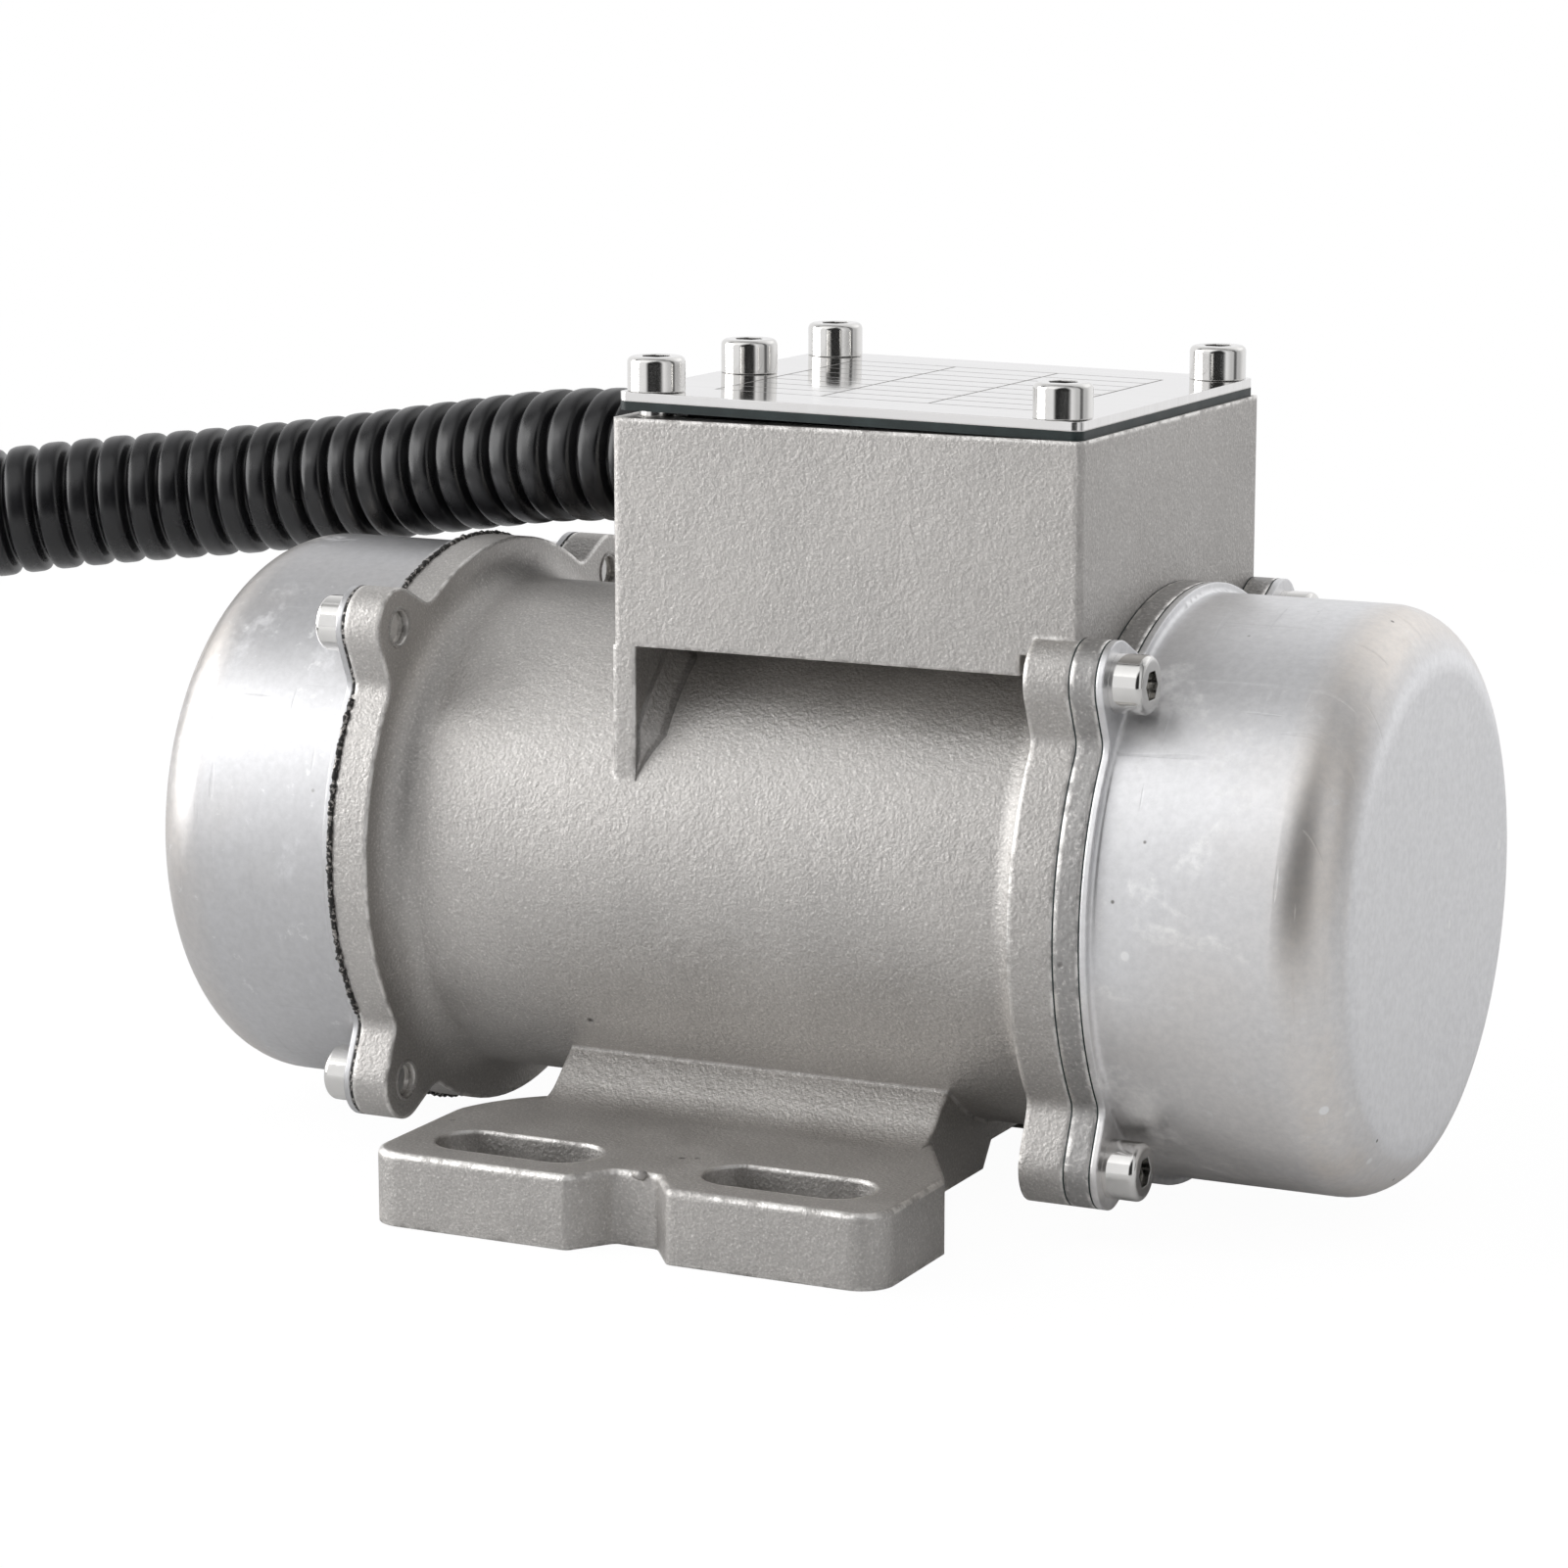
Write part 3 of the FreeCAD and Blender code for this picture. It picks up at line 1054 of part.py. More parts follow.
def rotor():
    spacer_left = f"({LEFT_SEAT} - bearing_width - spacer)"
    spacer_right = f"({RIGHT_SEAT} + bearing_width + spacer)"
    stack = "(fixed_thick + weight_gap + moving_thick + weight_gap)"
    clip_left = f"({spacer_left} - {stack})"
    clip_right = f"({spacer_right} + {stack})"
    groove = "shaft_end_radius - shaft_clip_depth"
    shaft = new_body("shaft")
    turned(shaft, [
        (f"{clip_left} - shaft_clip - shaft_tail", "0"),
        (f"{clip_right} + shaft_clip + shaft_tail", "0"),
        (f"{clip_right} + shaft_clip + shaft_tail", "shaft_end_radius - rim_round"),
        (f"{clip_right} + shaft_clip + shaft_tail - rim_round", "shaft_end_radius"),
        (f"{clip_right} + shaft_clip", "shaft_end_radius"),
        (f"{clip_right} + shaft_clip", groove),
        (clip_right, groove),
        (clip_right, "shaft_end_radius"),
        (spacer_right, "shaft_end_radius"),
        (spacer_right, "bearing_bore - seat_play"),
        (RIGHT_SEAT, "bearing_bore - seat_play"),
        (RIGHT_SEAT, "shaft_core"),
        (LEFT_SEAT, "shaft_core"),
        (LEFT_SEAT, "bearing_bore - seat_play"),
        (spacer_left, "bearing_bore - seat_play"),
        (spacer_left, "shaft_end_radius"),
        (clip_left, "shaft_end_radius"),
        (clip_left, groove),
        (f"{clip_left} - shaft_clip", groove),
        (f"{clip_left} - shaft_clip", "shaft_end_radius"),
        (f"{clip_left} - shaft_clip - shaft_tail + rim_round", "shaft_end_radius"),
        (f"{clip_left} - shaft_clip - shaft_tail", "shaft_end_radius - rim_round"),
    ])
    keys = new_body("weight_keys")
    for start, sign in ((spacer_left, -1), (spacer_right, 1)):
        low = f"({start} + {sign} * fixed_thick / 2 - key_length / 2)"
        high = f"({start} + {sign} * fixed_thick / 2 + key_length / 2)"
        bottom = "shaft_end_radius - key_depth"
        way = sketch(shaft, "XY_Plane", out="shaft_end_radius")
        rectangle(way, low, high, "-key_width / 2 - key_play", "key_width / 2 + key_play")
        pocket(shaft, way, "key_depth")
        key = sketch(keys, "XY_Plane", out=bottom)
        rectangle(key, low, high, "-key_width / 2", "key_width / 2")
        pad(keys, key, "key_height")

    core = new_body("rotor_core")
    turned(core, [
        (CORE_LEFT, "shaft_core + seat_play"),
        (CORE_RIGHT, "shaft_core + seat_play"),
        (CORE_RIGHT, "stator_bore - air_gap"),
        (CORE_LEFT, "stator_bore - air_gap"),
    ])
    hole = sketch(core, "YZ_Plane", out=CORE_LEFT)
    circles(hole, [("bar_circle", "0")], "bar_radius + screw_clearance")
    around(core, [pocket(core, hole, "core_length", Reversed=True)], "bar_count")
    cage = new_body("rotor_cage")
    rings = [(f"({CORE_LEFT} - end_ring)", CORE_LEFT), (CORE_RIGHT, f"({CORE_RIGHT} + end_ring)")]
    turned(cage, square_ring(*rings[0], "end_ring_inner", "stator_bore - air_gap - end_ring_step"))
    bar = sketch(cage, "YZ_Plane", out=f"{CORE_LEFT} - end_ring / 2")
    circles(bar, [("bar_circle", "0")], "bar_radius")
    around(cage, [pad(cage, bar, "core_length + end_ring")], "bar_count")
    turned(cage, square_ring(*rings[1], "end_ring_inner", "stator_bore - air_gap - end_ring_step"))

    for name, start, side in (("left", spacer_left, -1), ("right", spacer_right, 1)):
        sleeve = new_body(f"bearing_spacer_{name}")
        inner_end = f"({start} - {side} * spacer)"
        low, high = (start, inner_end) if side < 0 else (inner_end, start)
        turned(sleeve, square_ring(low, high, "bearing_bore", "bearing_bore + spacer_wall"))
        fixed_start = f"({start} - fixed_thick)" if side < 0 else start
        fixed = new_body(f"fixed_weight_{name}")
        weight(fixed, fixed_start, "fixed_thick")
        way = sketch(fixed, "YZ_Plane", out=fixed_start)
        top = "shaft_end_radius - key_depth + key_height + key_play"
        rectangle(way, "-key_width / 2 - key_play", "key_width / 2 + key_play", "0", top)
        pocket(fixed, way, "fixed_thick", Reversed=True)
        moving_start = (f"({start} - fixed_thick - weight_gap - moving_thick)" if side < 0
                        else f"({start} + fixed_thick + weight_gap)")
        adjustable_weight(name, moving_start)
        clip = new_body(f"shaft_clip_{name}")
        clip_start = f"({clip_left} - shaft_clip)" if side < 0 else clip_right
        retaining_ring(clip, clip_start, "shaft_clip", groove, "shaft_clip_radius", 1, "shaft_clip_gap")


def square_ring(low, high, inner, outer):
    return [(low, inner), (high, inner), (high, outer), (low, outer)]


def weight(body, start, thickness):
    """Eccentric weight: a heavy lower segment hung on a round hub."""
    made = sketch(body, "YZ_Plane", out=start)
    wide = "sqrt(weight_radius ^ 2 - weight_edge ^ 2)"
    hub = "sqrt(weight_hub ^ 2 - weight_edge ^ 2)"
    outline(made, [
        (f"-{wide}", "-weight_edge"),
        (wide, "-weight_edge", "weight_radius", 1),
        (hub, "-weight_edge"),
        ("0", "weight_hub", "weight_hub", 1),
        (f"-{hub}", "-weight_edge", "weight_hub", 1),
    ])
    pad(body, made, thickness)
    bore = sketch(body, "YZ_Plane", out=start)
    circles(bore, [("0", "0")], "shaft_end_radius + weight_play")
    pocket(body, bore, thickness, Reversed=True)


def adjustable_weight(name, start):
    """The outer weight clamps on the shaft with a slit hub and a cross screw."""
    body = new_body(f"adjustable_weight_{name}")
    weight(body, start, "moving_thick")
    lugs = sketch(body, "YZ_Plane", out=start)
    foot = "weight_hub * 0.8"
    rectangle(lugs, "-clamp_half", "clamp_half", foot, "clamp_top")
    pad(body, lugs, "moving_thick")
    slit = sketch(body, "YZ_Plane", out=start)
    rectangle(slit, "-clamp_slit / 2", "clamp_slit / 2", "0", "2 * clamp_top")
    pocket(body, slit, "moving_thick", Reversed=True)
    middle = f"({start} + moving_thick / 2)"
    cross = sketch(body, "XZ_Plane")
    circles(cross, [(middle, "clamp_screw_z")], "clamp_screw_radius + screw_clearance")
    pocket(body, cross)
    screw = new_body(f"clamp_screw_{name}")
    shank = sketch(screw, "XZ_Plane", out="clamp_half")
    circles(shank, [(middle, "clamp_screw_z")], "clamp_screw_radius")
    pad(screw, shank, "2 * clamp_half", Reversed=True)
    head = sketch(screw, "XZ_Plane", out="clamp_half")
    circles(head, [(middle, "clamp_screw_z")], "clamp_head_radius")
    pad(screw, head, "clamp_head_height")
    socket = sketch(screw, "XZ_Plane", out="clamp_half + clamp_head_height")
    hexagons(socket, [(middle, "clamp_screw_z")], "clamp_socket_radius")
    pocket(screw, socket, "socket_depth")


def check_and_write():
    doc.recompute()
    for thing in doc.Objects:
        if "Invalid" in thing.State or "Error" in thing.State:
            raise RuntimeError(f"{thing.Name} of the document did not compute: {thing.getStatusString()}")
    for piece in pieces:
        shape = piece.Shape
        if shape.isNull() or not shape.isValid():
            raise RuntimeError(f"{piece.Label} is not a valid solid")
        print(f"{piece.Label}: {len(shape.Solids)} solid(s), {shape.Volume:.0f} cubic mm")
        shape.exportStep(f"parts/{piece.Label}.step")


motor_housing()
bearing_shield()
rim_gasket("shield_gasket", "right_joint", "joint_gasket", "bore_radius")
rim_gasket("cap_gasket_left", f"-{LEFT_BRIM}", "left_gasket", "gasket_inner")
rim_gasket("cap_gasket_right", SHIELD_OUT, "joint_gasket", "gasket_inner")
end_cap("end_cap_left", -1, LEFT_BRIM, "cap_end_left")
end_cap("end_cap_right", 1, RIGHT_BRIM, "cap_end_right")
socket_screws("cap_screws_left", "YZ_Plane", EAR_SCREWS, f"-({LEFT_BRIM} + cap_sheet)", -1,
              "left_gasket + cap_sheet + left_flange - cap_screw_end")
socket_screws("cap_screws_right", "YZ_Plane", EAR_SCREWS, f"{RIGHT_BRIM} + cap_sheet", 1,
              f"{RIGHT_BRIM} + cap_sheet - right_joint + right_flange - cap_screw_end")
lid()
conduit()
terminals()
stator()
bearings()
rotor()
check_and_write()
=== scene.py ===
import json
import math
import bpy
import bmesh
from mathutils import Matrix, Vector, noise


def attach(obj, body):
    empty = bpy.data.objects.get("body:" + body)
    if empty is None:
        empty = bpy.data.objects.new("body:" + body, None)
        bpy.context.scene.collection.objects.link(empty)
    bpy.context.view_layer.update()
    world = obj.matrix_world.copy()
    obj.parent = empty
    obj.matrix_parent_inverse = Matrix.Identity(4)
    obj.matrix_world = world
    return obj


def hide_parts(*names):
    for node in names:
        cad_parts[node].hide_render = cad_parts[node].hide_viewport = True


# The looks of the vibration motor. Lengths are in metres, in the frame of part.py: +X along the
# shaft to the right, -Y towards the reader, +Z up. Order: camera, conduit, small cast pieces,
# materials, floor and light.

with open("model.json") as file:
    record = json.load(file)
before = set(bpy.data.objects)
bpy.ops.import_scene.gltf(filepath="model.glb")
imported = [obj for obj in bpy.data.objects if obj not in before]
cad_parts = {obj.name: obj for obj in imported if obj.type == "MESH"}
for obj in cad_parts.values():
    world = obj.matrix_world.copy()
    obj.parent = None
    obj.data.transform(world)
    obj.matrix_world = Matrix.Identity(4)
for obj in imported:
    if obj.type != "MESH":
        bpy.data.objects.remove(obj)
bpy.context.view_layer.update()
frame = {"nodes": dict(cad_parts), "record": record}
nodes = frame["nodes"]
scene = bpy.context.scene
scene.view_settings.view_transform = "Standard"
MM = 0.001
AXIS_Z = 0.0463

# Camera: solved from the photograph's edges
CAMERA_AZIMUTH, CAMERA_ELEVATION = math.radians(25.933), math.radians(10.713)
CAMERA_AT = (0.29799, -0.62846, 0.18785)
CAMERA_LENS, CAMERA_SENSOR = 106.587, 36.0
CAMERA_NEAR, CAMERA_FAR = 0.02, 20.0


def away(azimuth, elevation):
    """Direction from the object. Azimuth 0 is the reader's side, 90 degrees the right."""
    return Vector((
        math.sin(azimuth) * math.cos(elevation),
        -math.cos(azimuth) * math.cos(elevation),
        math.sin(elevation),
    ))


def aim(obj, back):
    """Turns a camera or lamp so that it looks against the direction back."""
    obj.rotation_mode = "QUATERNION"
    obj.rotation_quaternion = (-back).to_track_quat("-Z", "Y")


cam_data = bpy.data.cameras.new("camera")
cam_data.lens = CAMERA_LENS
cam_data.sensor_width = CAMERA_SENSOR
cam_data.clip_start, cam_data.clip_end = CAMERA_NEAR, CAMERA_FAR
camera = bpy.data.objects.new("camera", cam_data)
scene.collection.objects.link(camera)
camera.location = CAMERA_AT
aim(camera, away(CAMERA_AZIMUTH, CAMERA_ELEVATION))
scene.camera = camera

# Conduit
# The route of part.py: out of the box's wall, over the left cap and down to the floor.
ROUTE = [
    (-0.0284, 0.0215, 0.1024), (-0.0513, 0.0215, 0.1024), (-0.0734, 0.0241, 0.0991),
    (-0.1104, 0.0240, 0.0932), (-0.1561, 0.0095, 0.0889), (-0.1952, -0.0122, 0.0807),
    (-0.2300, -0.0413, 0.0557), (-0.2500, -0.0800, 0.0330), (-0.2620, -0.1220, 0.0180),
    (-0.2630, -0.1660, 0.0109), (-0.2560, -0.2050, 0.0132),
]
CONDUIT_R = 10.6 * MM
CONDUIT_PITCH = 5.40 * MM
CONDUIT_SIDES = 56
RINGS_PER_PITCH = 16
CREST_SHARE = 0.61   # of a pitch; the rest is the groove
CREST_POWER = 3.6    # how flat the crest is before it rounds off
CREST_SAG = 0.24 * MM
GROOVE_DEPTH = 2.1 * MM
PATH_STEP = 4 * MM


def spline_points(route, name):
    """Points of the smooth line that has the route as its control points."""
    curve = bpy.data.curves.new(name, "CURVE")
    curve.dimensions = "3D"
    curve.resolution_u = 24
    line = curve.splines.new("NURBS")
    line.points.add(len(route) - 1)
    for point, place in zip(line.points, route):
        point.co = (*place, 1.0)
    line.order_u = 3
    line.use_endpoint_u = True
    helper = bpy.data.objects.new(name, curve)
    scene.collection.objects.link(helper)
    bpy.context.view_layer.update()
    graph = bpy.context.evaluated_depsgraph_get()
    mesh = bpy.data.meshes.new_from_object(helper.evaluated_get(graph))
    points = [v.co.copy() for v in mesh.vertices]
    bpy.data.objects.remove(helper)
    return points


def resample(points, step):
    """The same line with a point about every step, both ends kept, and its length."""
    runs = [(b - a).length for a, b in zip(points, points[1:])]
    total = sum(runs)
    count = max(2, round(total / step))
    out, i, gone = [], 0, 0.0
    for k in range(count + 1):
        s = total * k / count
        while i < len(runs) - 1 and gone + runs[i] < s:
            gone += runs[i]
            i += 1
        share = (s - gone) / runs[i] if runs[i] else 0.0
        out.append(points[i].lerp(points[i + 1], min(max(share, 0.0), 1.0)))
    return out, total


def new_object(name, mesh, body):
    """A smooth shaded object that rides on a body."""
    obj = bpy.data.objects.new(name, mesh)
    scene.collection.objects.link(obj)
    for poly in mesh.polygons:
        poly.use_smooth = True
    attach(obj, body)
    return obj


def wall(rings, sides, closed=False):
    """Faces between rings of points, each ring as long as the others."""
    faces = []
    for i in range(rings if closed else rings - 1):
        a, b = i * sides, (i + 1) % rings * sides
        for k in range(sides):
            n = (k + 1) % sides
            faces.append((a + k, a + n, b + n, b + k))
    return faces


def tube_mesh(name, points, radius_at, sides, up):
    """A tube round the points; radius_at(s) is its radius at a distance s along them."""
    verts, s = [], 0.0
    for i, p in enumerate(points):
        if i:
            s += (p - points[i - 1]).length
        ahead = points[min(i + 1, len(points) - 1)] - points[max(i - 1, 0)]
        ahead.normalize()
        across = up.cross(ahead).normalized()
        up = ahead.cross(across).normalized()
        r = radius_at(s)
        for k in range(sides):
            a = 2 * math.pi * k / sides
            verts.append(p + across * (r * math.cos(a)) + up * (r * math.sin(a)))
    mesh = bpy.data.meshes.new(name)
    mesh.from_pydata(verts, [], wall(len(points), sides))
    mesh.update()
    return mesh


def corrugation(s):
    """Wide rounded crests with narrow grooves between them."""
    off = abs((s / CONDUIT_PITCH) % 1.0 - 0.5) * 2.0
    if off < CREST_SHARE:
        return CONDUIT_R - CREST_SAG * (off / CREST_SHARE) ** CREST_POWER
    t = (off - CREST_SHARE) / (1.0 - CREST_SHARE)
    return CONDUIT_R - CREST_SAG - (GROOVE_DEPTH - CREST_SAG) * t * t * (3 - 2 * t)


smooth_line = spline_points(ROUTE, "conduit_line")
line_points, line_length = resample(smooth_line, CONDUIT_PITCH / RINGS_PER_PITCH)
conduit_mesh = tube_mesh("corrugated_conduit", line_points, corrugation, CONDUIT_SIDES,
                         Vector((0, 0, 1)))
conduit = new_object("corrugated_conduit", conduit_mesh, "motor")
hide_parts("conduit")
path_points, _ = resample(smooth_line, PATH_STEP)

# Sealing compound, squeezed out of the left joint between its ears
JOINT_X = -61.85 * MM
BEAD_RADIUS = 44.52 * MM
BEAD_THICK = 0.44 * MM
BEAD_REACH = 33      # degrees each side of its middle
BEAD_STEP = 0.2 * MM
BEAD_SIDES = 8
BEAD_LUMP, BEAD_STRAY = 0.16 * MM, 0.26 * MM   # how far it leaves the rim's line
BEAD_LUMP_RATE, BEAD_STRAY_RATE = 0.13, 0.05   # how fast that changes, a step
BEAD_UNEVEN, BEAD_FINE = 0.75, 0.6             # share of its thickness, and of the finer lumps
BEAD_COARSE_RATE, BEAD_FINE_RATE = 0.9, 2.4    # how fast the thickness changes, a millimetre
BEAD_PLACES = (("front", 0), ("top", 90), ("rear", 180), ("bottom", 270))


def bead(name, start, end):
    """A crumbly line round the rim. Angles in degrees from the reader's side, upwards."""
    def wander(at, line):
        """Smooth noise, the same each run; each line gives another one."""
        return noise.noise(Vector((at, start, line)))

    count = round(BEAD_RADIUS * math.radians(end - start) / BEAD_STEP)
    points = []
    for k in range(count + 1):
        a = math.radians(start) + k * BEAD_STEP / BEAD_RADIUS
        r = BEAD_RADIUS + BEAD_LUMP * wander(k * BEAD_LUMP_RATE, 3.0)
        x = JOINT_X + BEAD_STRAY * wander(k * BEAD_STRAY_RATE, 9.0)
        points.append(Vector((x, -r * math.cos(a), AXIS_Z + r * math.sin(a))))

    def thickness(s):
        coarse = wander(s / MM * BEAD_COARSE_RATE, 5.0)
        fine = wander(s / MM * BEAD_FINE_RATE, 7.0)
        return BEAD_THICK * (1.0 + BEAD_UNEVEN * (coarse + BEAD_FINE * fine))

    mesh = tube_mesh(name, points, thickness, BEAD_SIDES, Vector((1, 0, 0)))
    piece = new_object(name, mesh, "motor")
    return piece


beads = [
    bead(f"sealing_bead_{place}", middle - BEAD_REACH, middle + BEAD_REACH)
    for place, middle in BEAD_PLACES
]

# Casting nubs in the notches of the feet: name, centre, and radii along X, Y and Z
NUBS = (
    ("casting_nub_front", (0.0006, -0.0639, 0.0107), (1.2 * MM, 0.8 * MM, 0.8 * MM)),
    ("casting_nub_rear", (-0.0008, 0.0639, 0.0107), (1.0 * MM, 0.7 * MM, 0.7 * MM)),
)
NUB_UNEVEN, NUB_LUMPS, NUB_SEED = 0.28, 1.7, 90.0


def casting_nub(name, centre, radii):
    """A small uneven ball that stands half out of the surface."""
    work = bmesh.new()
    bmesh.ops.create_icosphere(work, subdivisions=3, radius=1.0)
    for v in work.verts:
        v.co *= 1.0 + NUB_UNEVEN * noise.noise(v.co * NUB_LUMPS + Vector(centre) * NUB_SEED)
        v.co = Vector((v.co.x * radii[0], v.co.y * radii[1], v.co.z * radii[2]))
    mesh = bpy.data.meshes.new(name)
    work.to_mesh(mesh)
    work.free()
    piece = new_object(name, mesh, "motor")
    piece.location = centre
    return piece


def mesh_piece(name, verts, faces, flat=()):
    """A closed mesh on the motor; the faces numbered in flat stay flat shaded."""
    mesh = bpy.data.meshes.new(name)
    mesh.from_pydata(verts, [], faces)
    piece = new_object(name, mesh, "motor")
    for k in flat:
        mesh.polygons[k].use_smooth = False
    work = bmesh.new()
    work.from_mesh(mesh)
    bmesh.ops.recalc_face_normals(work, faces=work.faces)
    work.to_mesh(mesh)
    work.free()
    return piece


# Hollow between the rib's face and the barrel
BARREL_R = 38.2 * MM
RIB_FACE_X = -14.9 * MM
BOX_HALF_Y = 35.05 * MM
BOX_UNDER = 35.2 * MM
HOLLOW_RADIUS, HOLLOW_LEAST = 3.4 * MM, 0.12 * MM
HOLLOW_ROOM = 0.8    # share of the room between barrel and box that its radius may take
HOLLOW_SUNK = 0.2 * MM
HOLLOW_STEPS, HOLLOW_SEGMENTS = 48, 10


def hollow(name, side):
    """The cast hollow between the rib's face and the barrel; it dies out at both ends.

    Side 1 is the reader's side, -1 the far one.
    """
    low, high = math.acos(BOX_HALF_Y / BARREL_R), math.asin(BOX_UNDER / BARREL_R)
    verts = []
    for i in range(HOLLOW_STEPS + 1):
        a = low + (high - low) * i / HOLLOW_STEPS
        room = min(BOX_HALF_Y / math.cos(a), BOX_UNDER / math.sin(a)) - BARREL_R
        r = max(HOLLOW_LEAST, min(HOLLOW_RADIUS, HOLLOW_ROOM * room))
        section = [(RIB_FACE_X - HOLLOW_SUNK, BARREL_R - HOLLOW_SUNK)]
        for k in range(HOLLOW_SEGMENTS + 1):
            turn = math.pi / 2 * k / HOLLOW_SEGMENTS
            section.append((RIB_FACE_X + r - r * math.cos(turn), BARREL_R + r - r * math.sin(turn)))
        for x, radius in section:
            verts.append((x, -side * radius * math.cos(a), AXIS_Z + radius * math.sin(a)))
    around = HOLLOW_SEGMENTS + 2
    faces = wall(HOLLOW_STEPS + 1, around)
    flat = [i for i in range(len(faces)) if i % around in (0, around - 1)]
    for start in (0, HOLLOW_STEPS * around):
        flat.append(len(faces))
        faces.append(tuple(range(start, start + around)))
    return mesh_piece(name, verts, faces, flat)


# Lips round the tapped holes of the left flange's ears
EAR_Y, EAR_UP = 33.5 * MM, 35.0 * MM
LEFT_EAR_FACE = -55.6 * MM
LIP_RADIUS, LIP_THICK = 2.95 * MM, 0.26 * MM
LIP_UNEVEN, LIP_LUMPS, LIP_SEED = 0.35, 3, 90
LIP_TURNS, LIP_SIDES = 40, 8


def hole_lip(name, x, y, z):
    """The raised lip round a tapped hole."""
    verts = []
    for i in range(LIP_TURNS):
        a = 2 * math.pi * i / LIP_TURNS
        lump = noise.noise(Vector((LIP_LUMPS * math.cos(a), LIP_LUMPS * math.sin(a), y * LIP_SEED)))
        wide = LIP_THICK * (1.0 + LIP_UNEVEN * lump)
        for k in range(LIP_SIDES):
            b = 2 * math.pi * k / LIP_SIDES
            r = LIP_RADIUS + wide * math.cos(b)
            verts.append((x + wide * math.sin(b), y + r * math.cos(a), z + r * math.sin(a)))
    return mesh_piece(name, verts, wall(LIP_TURNS, LIP_SIDES, True))


cast_bits = [casting_nub(name, centre, radii) for name, centre, radii in NUBS]
cast_bits += [hollow("rib_hollow_front", 1), hollow("rib_hollow_rear", -1)]
for end, front in (("front", 1), ("rear", -1)):
    for level, up in (("upper", 1), ("lower", -1)):
        cast_bits.append(hole_lip(f"tapped_hole_lip_{end}_{level}", LEFT_EAR_FACE,
                                  -front * EAR_Y, AXIS_Z + up * EAR_UP))


# Materials
BEVEL_SAMPLES = 6
EDGE_FROM, EDGE_FULL = 0.995, 0.92   # cosine between the surface's normal and the bevel's


class Graph:
    """Short way to write a node tree."""

    def __init__(self, tree):
        self.tree = tree
        self.tree.nodes.clear()

    def put(self, socket, value):
        """Sets a socket to a value, or joins it to the output that gives the value."""
        if isinstance(value, bpy.types.NodeSocket):
            self.tree.links.new(value, socket)
        else:
            if socket.type == "RGBA":
                value = (*value[:3], 1.0)
            socket.default_value = value

    def node(self, kind, props=None, **inputs):
        """A node. Inputs go by name, with _ for a space, or by number, as i0 or i1."""
        node = self.tree.nodes.new("ShaderNode" + kind)
        for key, value in (props or {}).items():
            setattr(node, key, value)
        for key, value in inputs.items():
            by_number = key[0] == "i" and key[1:].isdigit()
            self.put(node.inputs[int(key[1:]) if by_number else key.replace("_", " ")], value)
        return node

    def add(self, kind, props=None, **inputs):
        return self.node(kind, props, **inputs).outputs[0]

    def math(self, op, a, b=0.0):
        return self.add("Math", {"operation": op}, i0=a, i1=b)

    def times(self, a, b):
        return self.math("MULTIPLY", a, b)

    def plus(self, a, b):
        return self.math("ADD", a, b)

    def greater(self, a, b):
        return self.math("MAXIMUM", a, b)

    def axes(self, vector):
        """Outputs X, Y and Z of a vector."""
        return self.node("SeparateXYZ", None, i0=vector).outputs

    def span(self, value, low, high, to_low=0.0, to_high=1.0):
        """The value's way from low to high, clamped, as a number from to_low to to_high."""
        return self.add("MapRange", {"clamp": True}, i0=value, i1=low, i2=high, i3=to_low,
                        i4=to_high)


class Surface(Graph):
    """A material with one Principled shader."""

    def __init__(self, name):
        self.material = bpy.data.materials.new(name)
        self.material.use_nodes = True
        super().__init__(self.material.node_tree)
        self.shader = self.node("BsdfPrincipled")
        self.node("OutputMaterial", None, Surface=self.shader.outputs[0])
        self.coord = self.node("TexCoord").outputs["Object"]

    def done(self, colour, roughness, normal, metallic=0.0):
        """Sets what the shader shows, and gives the finished material."""
        for name, value in (("Base Color", colour), ("Metallic", metallic),
                            ("Roughness", roughness), ("Normal", normal)):
            self.put(self.shader.inputs[name], value)
        return self.material

    def noise(self, scale, detail=4.0, rough=0.55, at=None, distortion=0.0):
        """Noise with about scale features a metre."""
        return self.add("TexNoise", None, Vector=at or self.coord, Scale=scale, Detail=detail,
                        Roughness=rough, Distortion=distortion)

    def cells(self, scale, at=None):
        """Distance to the nearest of randomly strewn points."""
        return self.add("TexVoronoi", None, Vector=at or self.coord, Scale=scale, Randomness=1.0)

    def mix(self, share, a, b):
        props = {"data_type": "RGBA", "clamp_factor": True}
        return self.node("Mix", props, i0=share, i6=a, i7=b).outputs[2]

    def stretch(self, x, y, z):
        return self.add("Mapping", None, Vector=self.coord, Scale=(x, y, z))

    def normal_of_surface(self):
        return self.node("NewGeometry").outputs["Normal"]

    def bump(self, height, distance, strength, normal=None):
        node = self.node("Bump", None, Height=height, Distance=distance, Strength=strength)
        if normal is not None:
            self.put(node.inputs["Normal"], normal)
        return node.outputs[0]

    def bevel(self, radius):
        """Normal with the edges rounded."""
        return self.add("Bevel", {"samples": BEVEL_SAMPLES}, Radius=radius)

    def edge(self, bevel):
        """How near a point is to an edge that the bevel rounds, from 0 to 1."""
        near = self.node("VectorMath", {"operation": "DOT_PRODUCT"}, i0=bevel,
                         i1=self.normal_of_surface())
        return self.span(near.outputs["Value"], EDGE_FROM, EDGE_FULL)


def toned(tone, by, more=0.0):
    """A lighter or darker tone of the same colour."""
    return tuple(min(c * by + more, 1.0) for c in tone)


